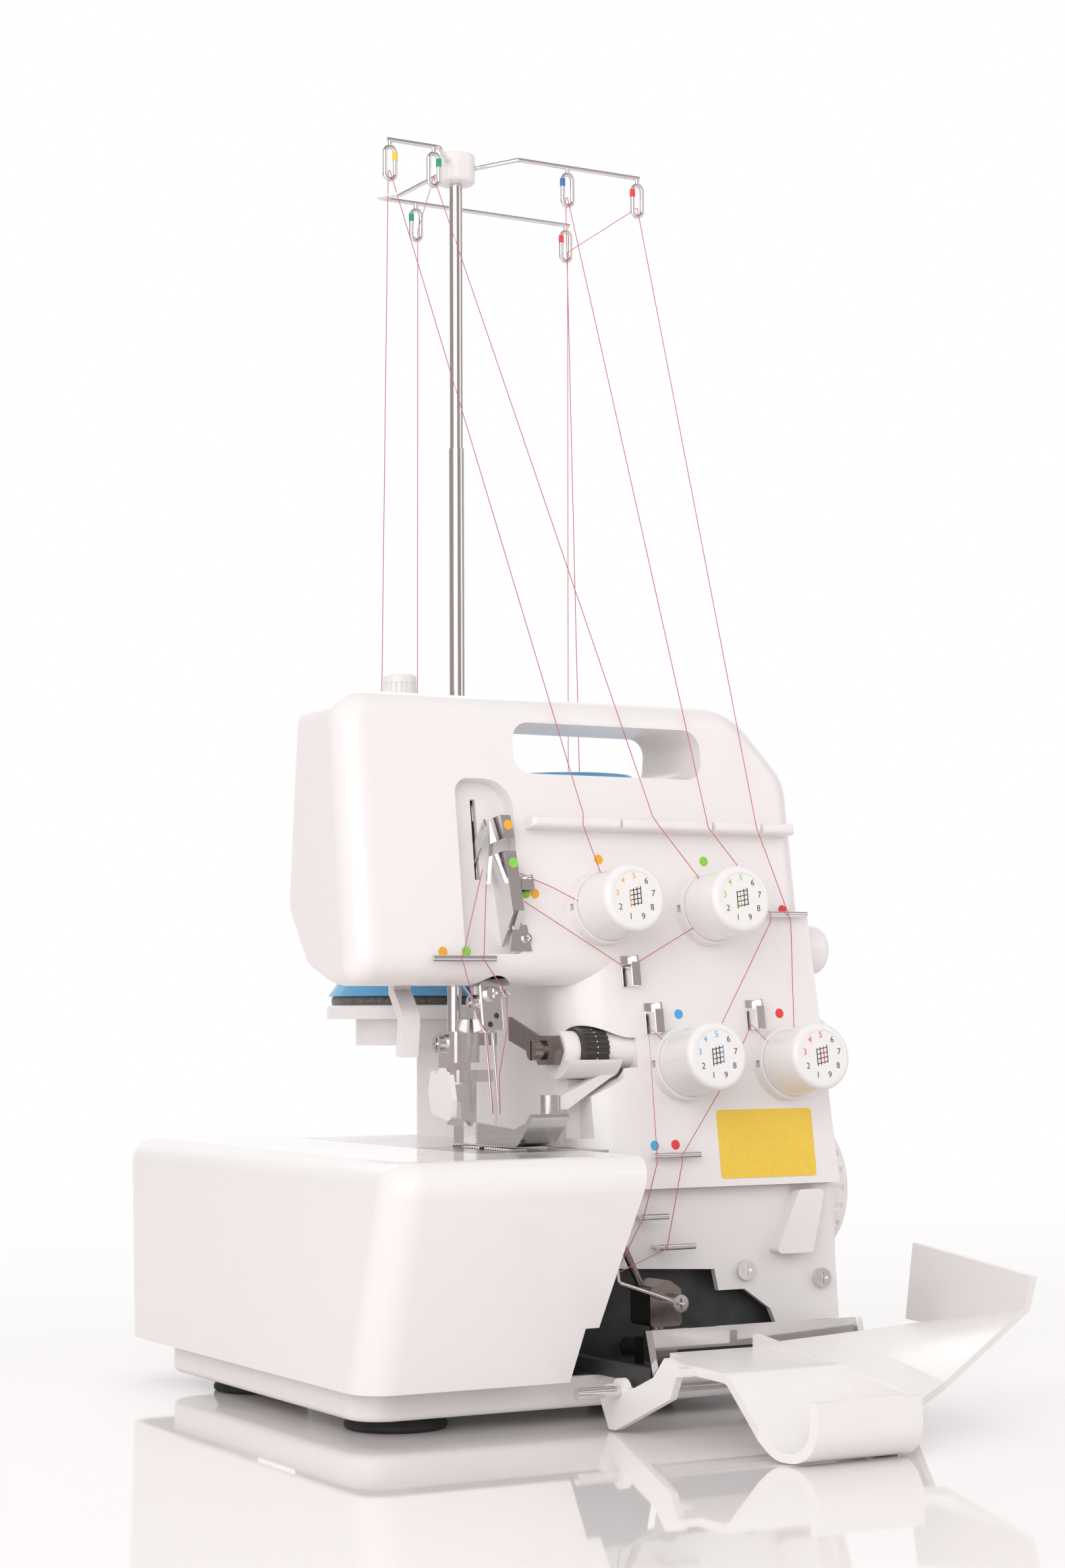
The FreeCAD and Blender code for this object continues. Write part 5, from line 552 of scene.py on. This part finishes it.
# Spool rim, eyes and ledge of each thread, in the drawing
UPPER_THREADS = (
    ((-51.7, 49.8), ((-42.0, 61.8), (-42.0, 60.0)), -8.0),
    ((14.9, 147.5), ((14.5, 145.2), (-19.5, 60.0)), 26.0),
    ((46.5, 43.3), ((51.5, 61.8), (51.5, 60.0)), 53.0),
    ((99.6, 147.9), ((99.5, 145.2), (90.0, 60.0)), 78.0),
)


def follow_pole(piece):
    """Gives the piece a mesh of its own."""
    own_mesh(piece)


def upper_threads():
    for number, (rim, eyes, ledge_x) in enumerate(UPPER_THREADS, 1):
        first = (*eyes[0], EYE_Z)
        last = (*eyes[-1], EYE_Z)
        rising = as_mesh(thread_curve(f"thread_rising_{number}", [(*rim, REEL_TOP + 0.2), first]))
        falling = as_mesh(thread_curve(f"thread_falling_{number}", [last, (ledge_x, LEDGE_Y, LEDGE_Z)]))
        for piece, low in ((rising, REEL_TOP), (falling, LEDGE_Z)):
            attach(piece, "machine")
            follow_pole(piece)
            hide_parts("thread_runs")
        across = thread_curve(f"thread_across_{number}", [first, last])
        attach(across, "thread_pole")


# Threads held on the panel and below it, each from one guide to the next, in the drawing
PANEL_THREADS = {
    "ledge_to_dial_1": [(-8.0, LEDGE_Y, LEDGE_Z), (-8.7, -56.5, 244.3), (1.8, -53.6, 223.3)],
    "ledge_to_dial_2": [(26.0, LEDGE_Y, LEDGE_Z), (28.9, -56.5, 244.6), (50.8, -53.7, 222.5)],
    "ledge_to_dial_3": [(53.0, LEDGE_Y, LEDGE_Z), (53.4, -56.5, 244.7), (70.9, -51.5, 229.5),
                        (86.0, -55.2, 207.6), (86.0, -54.6, 204.5), (48.9, -63.8, 151.0)],
    "ledge_to_dial_4": [(78.0, LEDGE_Y, LEDGE_Z), (78.4, -56.5, 244.8), (95.2, -54.8, 208.4),
                        (96.6, -54.6, 205.2), (92.1, -62.9, 156.8)],
    "dial_1_to_guard": [(-9.7, -55.2, 212.0), (-20.4, -51.5, 217.8), (-35.8, -50.7, 223.6)],
    "dial_2_to_guard": [(45.8, -56.6, 201.9), (17.5, -55.9, 186.5), (10.3, -56.3, 185.2),
                        (-34.7, -52.3, 211.9)],
    "finger_to_bar": [(-48.7, -44.9, 219.1), (-56.4, -57.4, 188.0)],
    "dial_3_to_pins": [(26.9, -63.5, 152.6), (20.6, -59.8, 159.4), (19.1, -68.4, 105.6), (19.3, -68.2, 103.2),
                       (12.2, -68.6, 80.8)],
    "dial_4_to_pins": [(78.9, -63.6, 151.9), (72.0, -59.8, 160.2), (68.2, -60.6, 153.8), (53.0, -63.0, 131.2),
                       (31.1, -68.5, 105.4), (31.5, -68.3, 103.2), (23.3, -68.8, 67.6)],
}


def panel_threads():
    for name, points in PANEL_THREADS.items():
        piece = thread_curve(f"thread_{name}", points)
        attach(piece, "machine")


# Threads that end on a moving piece: its body, the fixed end and the moving end
MOVING_THREADS = {
    "lever_to_bar": ("take_up_lever", [(-66.3, -57.4, 188.0), (-50.0, -44.1, 225.1)]),
    "bar_to_clamp_1": ("needle_bar", [(-66.3, -57.4, 187.4), (-53.2, -45.8, 164.0)]),
    "bar_to_clamp_2": ("needle_bar", [(-56.4, -57.4, 187.4), (-38.9, -44.1, 173.5)]),
    "pin_to_looper_1": ("lower_looper", [(12.2, -68.6, 80.6), (-9.6, -84.6, 62.0)]),
    "pin_to_looper_2": ("lower_looper", [(23.3, -68.8, 67.4), (-9.2, -84.6, 60.4)]),
}
MOVING_STEPS = 12

# Threads that ride with the needle bar
NEEDLE_THREADS = {
    "left_needle": [(-53.2, -45.8, 164.0), (-50.0, -46.5, 158.4), (-47.1, -47.6, 124.0)],
    "right_needle": [(-38.9, -44.1, 173.5), (-39.2, -45.6, 160.0), (-43.2, -45.6, 140.0),
                     (-43.9, -47.6, 124.0)],
}


def moving_threads():
    for name, (body, (start, end)) in MOVING_THREADS.items():
        run = [Vector(start).lerp(Vector(end), i / MOVING_STEPS) for i in range(MOVING_STEPS + 1)]
        piece = as_mesh(thread_curve(f"thread_{name}", run))
        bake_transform(piece)
    for name, points in NEEDLE_THREADS.items():
        piece = thread_curve(f"thread_{name}", points)
        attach(piece, "needle_bar")


# Coloured bands on the thread eyes: place of the eye, side of its loop and colour
EYE_BANDS = (
    (-42.0, 60.0, 1, "plate_yellow"),
    (-19.5, 60.0, 1, "band_green"),
    (51.5, 60.0, -1, "band_blue"),
    (90.0, 60.0, -1, "ink_red"),
    (14.5, 147.0, -1, "band_green"),
    (99.5, 147.0, -1, "ink_red"),
)
EYE_HALF = 2.6
BAND_RADIUS = 1.28
BAND_LOW = 556.6
BAND_HIGH = 560.4


def eye_bands():
    for number, (x, y, side, colour) in enumerate(EYE_BANDS, 1):
        bm = bmesh.new()
        profile = [(BAND_RADIUS * MM, BAND_LOW * MM), (BAND_RADIUS * MM, BAND_HIGH * MM)]
        add_lathe(bm, profile, Matrix.Translation(spot(x + side * EYE_HALF, y, 0.0)), 24)
        band = piece_from(f"eye_band_{number}", bm, [MATERIALS[colour]], smooth=False)
        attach(band, "thread_pole")


# Needle clamp, drawn about its leaning axis
NEEDLE_SPOT = (-45.5, -40.0, 165.0)
NEEDLE_LEAN = 9.0
CLAMP_WIRE_RADIUS = 0.45
CLAMP_EYE = (6.6, -5.4, 7.8)
CLAMP_EYE_RADIUS = 1.3
CLAMP_EYE_START = ((3.9, -4.6, 9.4), (4.9, -5.2, 8.8))
CLAMP_HOOK = ((-6.4, -1.0, 3.5), (-5.9, -4.0, -5.0), (-5.2, -5.6, -8.0), (-4.4, -6.0, -8.6), (-1.8, -6.2, -8.6),
              (-1.2, -5.6, -7.4))
SET_SCREWS = ((-1.6, -4.8), (1.6, -1.2))
SET_SCREW_RADIUS = 1.15
SET_SCREW_FRONT = -4.2
SET_SCREW_LENGTH = 1.0


def clamp_details():
    """Wire eyelet and hook for the needle threads, and dark screws that hold the needles."""
    lean = Matrix.Translation(spot(*NEEDLE_SPOT)) @ Matrix.Rotation(math.radians(-NEEDLE_LEAN), 4, "X")
    x, y, z = CLAMP_EYE
    eyelet = list(CLAMP_EYE_START)
    for step in range(15):
        turn = math.radians(200 + 24 * step)
        eyelet.append((x + CLAMP_EYE_RADIUS * math.cos(turn), y, z + CLAMP_EYE_RADIUS * math.sin(turn)))
    for name, points in (("clamp_eyelet", eyelet), ("clamp_hook", CLAMP_HOOK)):
        places = [millimetres(lean @ (Vector(point) * MM)) for point in points]
        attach(thread_curve(name, places, CLAMP_WIRE_RADIUS, "plated_steel"), "needle_bar")
    bm = bmesh.new()
    for x, z in SET_SCREWS:
        place = Matrix.Translation(Vector((x, SET_SCREW_FRONT, z)) * MM)
        inward = place @ Matrix.Rotation(-math.pi / 2, 4, "X")
        profile = [(SET_SCREW_RADIUS * MM, 0.0), (SET_SCREW_RADIUS * MM, SET_SCREW_LENGTH * MM)]
        add_lathe(bm, profile, lean @ inward, 6)
    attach(piece_from("set_screws", bm, [MATERIALS["knob_black"]], smooth=False), "needle_bar")


# Knife knob and the sleeve beside it, round their cross axis
KNIFE_AXIS_Y = -48.0
KNIFE_AXIS_Z = 150.0
KNOB_RADIUS = 9.2
KNOB_DOTS = 24
KNOB_DOTS_X = -2.5
KNOB_DOT_RADIUS = 0.28
KNOB_DOT_SINK = 0.1
KNOB_DOT_THICK = 0.16
SLEEVE_RADIUS = 8.02
SLEEVE_END = 23.9
# Width of the black ring that paints the shadow at the sleeve's end
SLEEVE_SHADOW_WIDTH = 0.8


def knob_details():
    """White dots round the knob, and a black ring at the end of its sleeve: painted shadow of the gap where the
    sleeve meets the column.
    """
    bm = bmesh.new()
    for i in range(KNOB_DOTS):
        turn = Matrix.Rotation(2 * math.pi * (i + 0.5) / KNOB_DOTS, 4, "X")
        place = Matrix.Translation(spot(KNOB_DOTS_X, KNIFE_AXIS_Y, KNIFE_AXIS_Z)) @ turn
        lift = Matrix.Translation(Vector((0, 0, KNOB_RADIUS - KNOB_DOT_SINK)) * MM)
        profile = [(KNOB_DOT_RADIUS * MM, 0.0), (KNOB_DOT_RADIUS * MM, KNOB_DOT_THICK * MM)]
        add_lathe(bm, profile, place @ lift, 10)
    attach(piece_from("knob_dots", bm, [MATERIALS["dial_white"]], smooth=False), "knife_knob")
    # Black ring at the sleeve's end: a dark piece put where there is only the shadow of the gap at the column
    # (painted shadow)
    bm = bmesh.new()
    end = Matrix.Translation(spot(SLEEVE_END, KNIFE_AXIS_Y, KNIFE_AXIS_Z))
    profile = [(SLEEVE_RADIUS * MM, 0.0), (SLEEVE_RADIUS * MM, SLEEVE_SHADOW_WIDTH * MM)]
    add_lathe(bm, profile, end @ Matrix.Rotation(math.pi / 2, 4, "Y"), 48)
    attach(piece_from("sleeve_end_shadow", bm, [MATERIALS["black_plastic"]], smooth=False), "machine")


def wound_reels():
    """Barrel of fine turns on each reel."""
    for number, (x, y) in enumerate(SPOOLS, 1):
        profile = [(REEL_CORE * MM, WINDING_LOW * MM)]
        turns = int((WINDING_HIGH - WINDING_LOW) / TURN_PITCH)
        for i in range(turns):
            for part, lift in ((0.0, -0.25), (0.5, 0.0)):
                share = (i + part) / turns
                radius = WINDING_RADIUS + lift * TURN_PITCH - WINDING_BARREL * (2 * share - 1) ** 4
                profile.append((radius * MM, (WINDING_LOW + share * (WINDING_HIGH - WINDING_LOW)) * MM))
        profile.append((REEL_CORE * MM, WINDING_HIGH * MM))
        bm = bmesh.new()
        add_lathe(bm, profile, Matrix.Translation(spot(x, y, 0.0)), 64)
        winding = piece_from(f"winding_{number}", bm, [MATERIALS["winding_white"]])
        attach(winding, "machine")
        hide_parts("thread_windings")


def felt_pads():
    """Pad with a rounded, slightly pressed edge under each reel."""
    for number, (x, y) in enumerate(SPOOLS, 1):
        bulge = [(PAD_RADIUS - 0.6, PAD_LOW), (PAD_RADIUS - 0.1, PAD_LOW + 0.8), (PAD_RADIUS, PAD_LOW + 2.0),
                 (PAD_RADIUS - 0.2, PAD_HIGH - 0.8), (PAD_RADIUS - 0.8, PAD_HIGH - 0.1)]
        profile = [(PAD_HOLE, PAD_LOW)] + bulge + [(PAD_HOLE, PAD_HIGH - 0.1)]
        bm = bmesh.new()
        add_lathe(bm, [(r * MM, h * MM) for r, h in profile], Matrix.Translation(spot(x, y, 0.0)), 64)
        pad = piece_from(f"felt_pad_{number}", bm, [MATERIALS["felt_grey"]])
        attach(pad, "machine")
        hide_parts("foam_pads")


def camera():
    data = bpy.data.cameras.new("photo_camera")
    data.lens = CAMERA_LENS
    data.sensor_width = CAMERA_SENSOR
    data.clip_start = 0.05
    data.clip_end = 50.0
    view = link_object("photo_camera", data)
    turn = Matrix.Rotation(-CAMERA_YAW, 4, "Z") @ Matrix.Rotation(math.pi / 2 + CAMERA_PITCH, 4, "X")
    roll = Matrix.Rotation(CAMERA_ROLL, 4, "Z")
    view.matrix_world = Matrix.Translation(spot(*CAMERA_PLACE)) @ turn @ roll
    bpy.context.scene.camera = view


def soft_light(name, place, target, size, power):
    data = bpy.data.lights.new(name, "AREA")
    data.shape = "RECTANGLE"
    data.size, data.size_y = size
    data.energy = power
    lamp = link_object(name, data)
    lamp.location = place
    lamp.rotation_euler = (Vector(target) - Vector(place)).to_track_quat("-Z", "Y").to_euler()


# World: light on the object, and for reflections a white backdrop round one direction in a dimmer room
WORLD_LIGHT = 0.78
BACKDROP_WAY = (0.48, 0.875, 0.08)
BACKDROP_EDGE = 0.55
BACKDROP_FULL = 0.85
STUDIO_DIM = (0.42, 0.37, 0.36)


def world():
    """White to the eye, gentler light on the object, and for reflections a backdrop in a dimmer room."""
    made = bpy.data.worlds.new("studio")
    bpy.context.scene.world = made
    made.use_nodes = True
    nodes = made.node_tree.nodes
    links = made.node_tree.links
    path = nodes.new("ShaderNodeLightPath")
    where = nodes.new("ShaderNodeTexCoord")
    toward = nodes.new("ShaderNodeVectorMath")
    toward.operation = "DOT_PRODUCT"
    toward.inputs[1].default_value = Vector(BACKDROP_WAY).normalized()
    links.new(where.outputs["Generated"], toward.inputs[0])
    backdrop = nodes.new("ShaderNodeMapRange")
    backdrop.interpolation_type = "SMOOTHSTEP"
    backdrop.inputs["From Min"].default_value = BACKDROP_EDGE
    backdrop.inputs["From Max"].default_value = BACKDROP_FULL
    links.new(toward.outputs["Value"], backdrop.inputs["Value"])
    seen = nodes.new("ShaderNodeMath")
    seen.operation = "MAXIMUM"
    links.new(path.outputs["Is Camera Ray"], seen.inputs[0])
    links.new(path.outputs["Is Transmission Ray"], seen.inputs[1])
    white = (1.0, 1.0, 1.0, 1.0)
    light = (WORLD_LIGHT, WORLD_LIGHT, WORLD_LIGHT, 1.0)
    last = None
    for factor, first, second in ((backdrop.outputs["Result"], (*STUDIO_DIM, 1.0), white),
                                  (path.outputs["Is Glossy Ray"], light, None),
                                  (seen.outputs["Value"], None, white)):
        mix = nodes.new("ShaderNodeMix")
        mix.data_type = "RGBA"
        links.new(factor, mix.inputs["Factor"])
        for socket, colour in ((mix.inputs[6], first), (mix.inputs[7], second)):
            if colour is None:
                links.new(last, socket)
            else:
                socket.default_value = colour
        last = mix.outputs[2]
    links.new(last, nodes["Background"].inputs["Color"])


# Table, in metres
FLOOR_COLOUR = (0.92, 0.87, 0.865)
FLOOR_SIZE = 12.0
FLOOR_FADE_START = 0.35
FLOOR_FADE_END = 1.6
FLOOR_DROP = 0.0002


def floor():
    """Pale polished table that fades into the white surround away from the machine."""
    bm = bmesh.new()
    bmesh.ops.create_grid(bm, x_segments=8, y_segments=8, size=FLOOR_SIZE)
    material, shader = new_material("table_white", FLOOR_COLOUR, 0.1)
    tint(material, shader, noise(material, 3.0, 2.0), shade(FLOOR_COLOUR, 0.99), FLOOR_COLOUR)
    gloss(material, shader, noise(material, 12.0, 3.0), 0.03, 0.05)
    nodes = material.node_tree.nodes
    out = nodes["Material Output"]
    glow = add_node(material, "ShaderNodeEmission", Strength=1.0)
    length = nodes.new("ShaderNodeVectorMath")
    length.operation = "LENGTH"
    join(material, nodes["Texture Coordinate"].outputs["Object"], length.inputs[0])
    fade = add_node(material, "ShaderNodeMapRange", From_Min=FLOOR_FADE_START, From_Max=FLOOR_FADE_END)
    fade.interpolation_type = "SMOOTHSTEP"
    join(material, length.outputs["Value"], fade.inputs["Value"])
    path = nodes.new("ShaderNodeLightPath")
    seen = nodes.new("ShaderNodeMath")
    seen.operation = "MULTIPLY"
    join(material, fade.outputs["Result"], seen.inputs[0])
    join(material, path.outputs["Is Camera Ray"], seen.inputs[1])
    mix = nodes.new("ShaderNodeMixShader")
    join(material, seen.outputs["Value"], mix.inputs["Fac"])
    join(material, shader.outputs["BSDF"], mix.inputs[1])
    join(material, glow.outputs["Emission"], mix.inputs[2])
    join(material, mix.outputs["Shader"], out.inputs["Surface"])
    table = piece_from("table", bm, [material], smooth=False)
    table.location.z = -FLOOR_DROP


# Lamps as (name, place, target, size, watts), in metres of the frame
LAMPS = (
    ("key_light", (-1.45, -1.35, 0.85), (0.0, 0.0, 0.2), (2.2, 1.6), 21.0),
    ("fill_light", (1.6, -1.2, 1.0), (0.0, 0.0, 0.2), (1.2, 1.4), 4.5),
    ("back_light", (0.2, 1.6, 1.5), (0.0, 0.0, 0.25), (1.6, 1.0), 8.0),
)


def studio():
    bpy.context.scene.view_settings.view_transform = "Standard"
    world()
    floor()
    for lamp in LAMPS:
        soft_light(*lamp)


dress_nodes()
for number, (accent, column) in enumerate(DIAL_ACCENTS, 1):
    dial_marks(number, accent, column)
dots()
yellow_plate()
upper_threads()
panel_threads()
moving_threads()
eye_bands()
clamp_details()
knob_details()
wound_reels()
felt_pads()
camera()
studio()
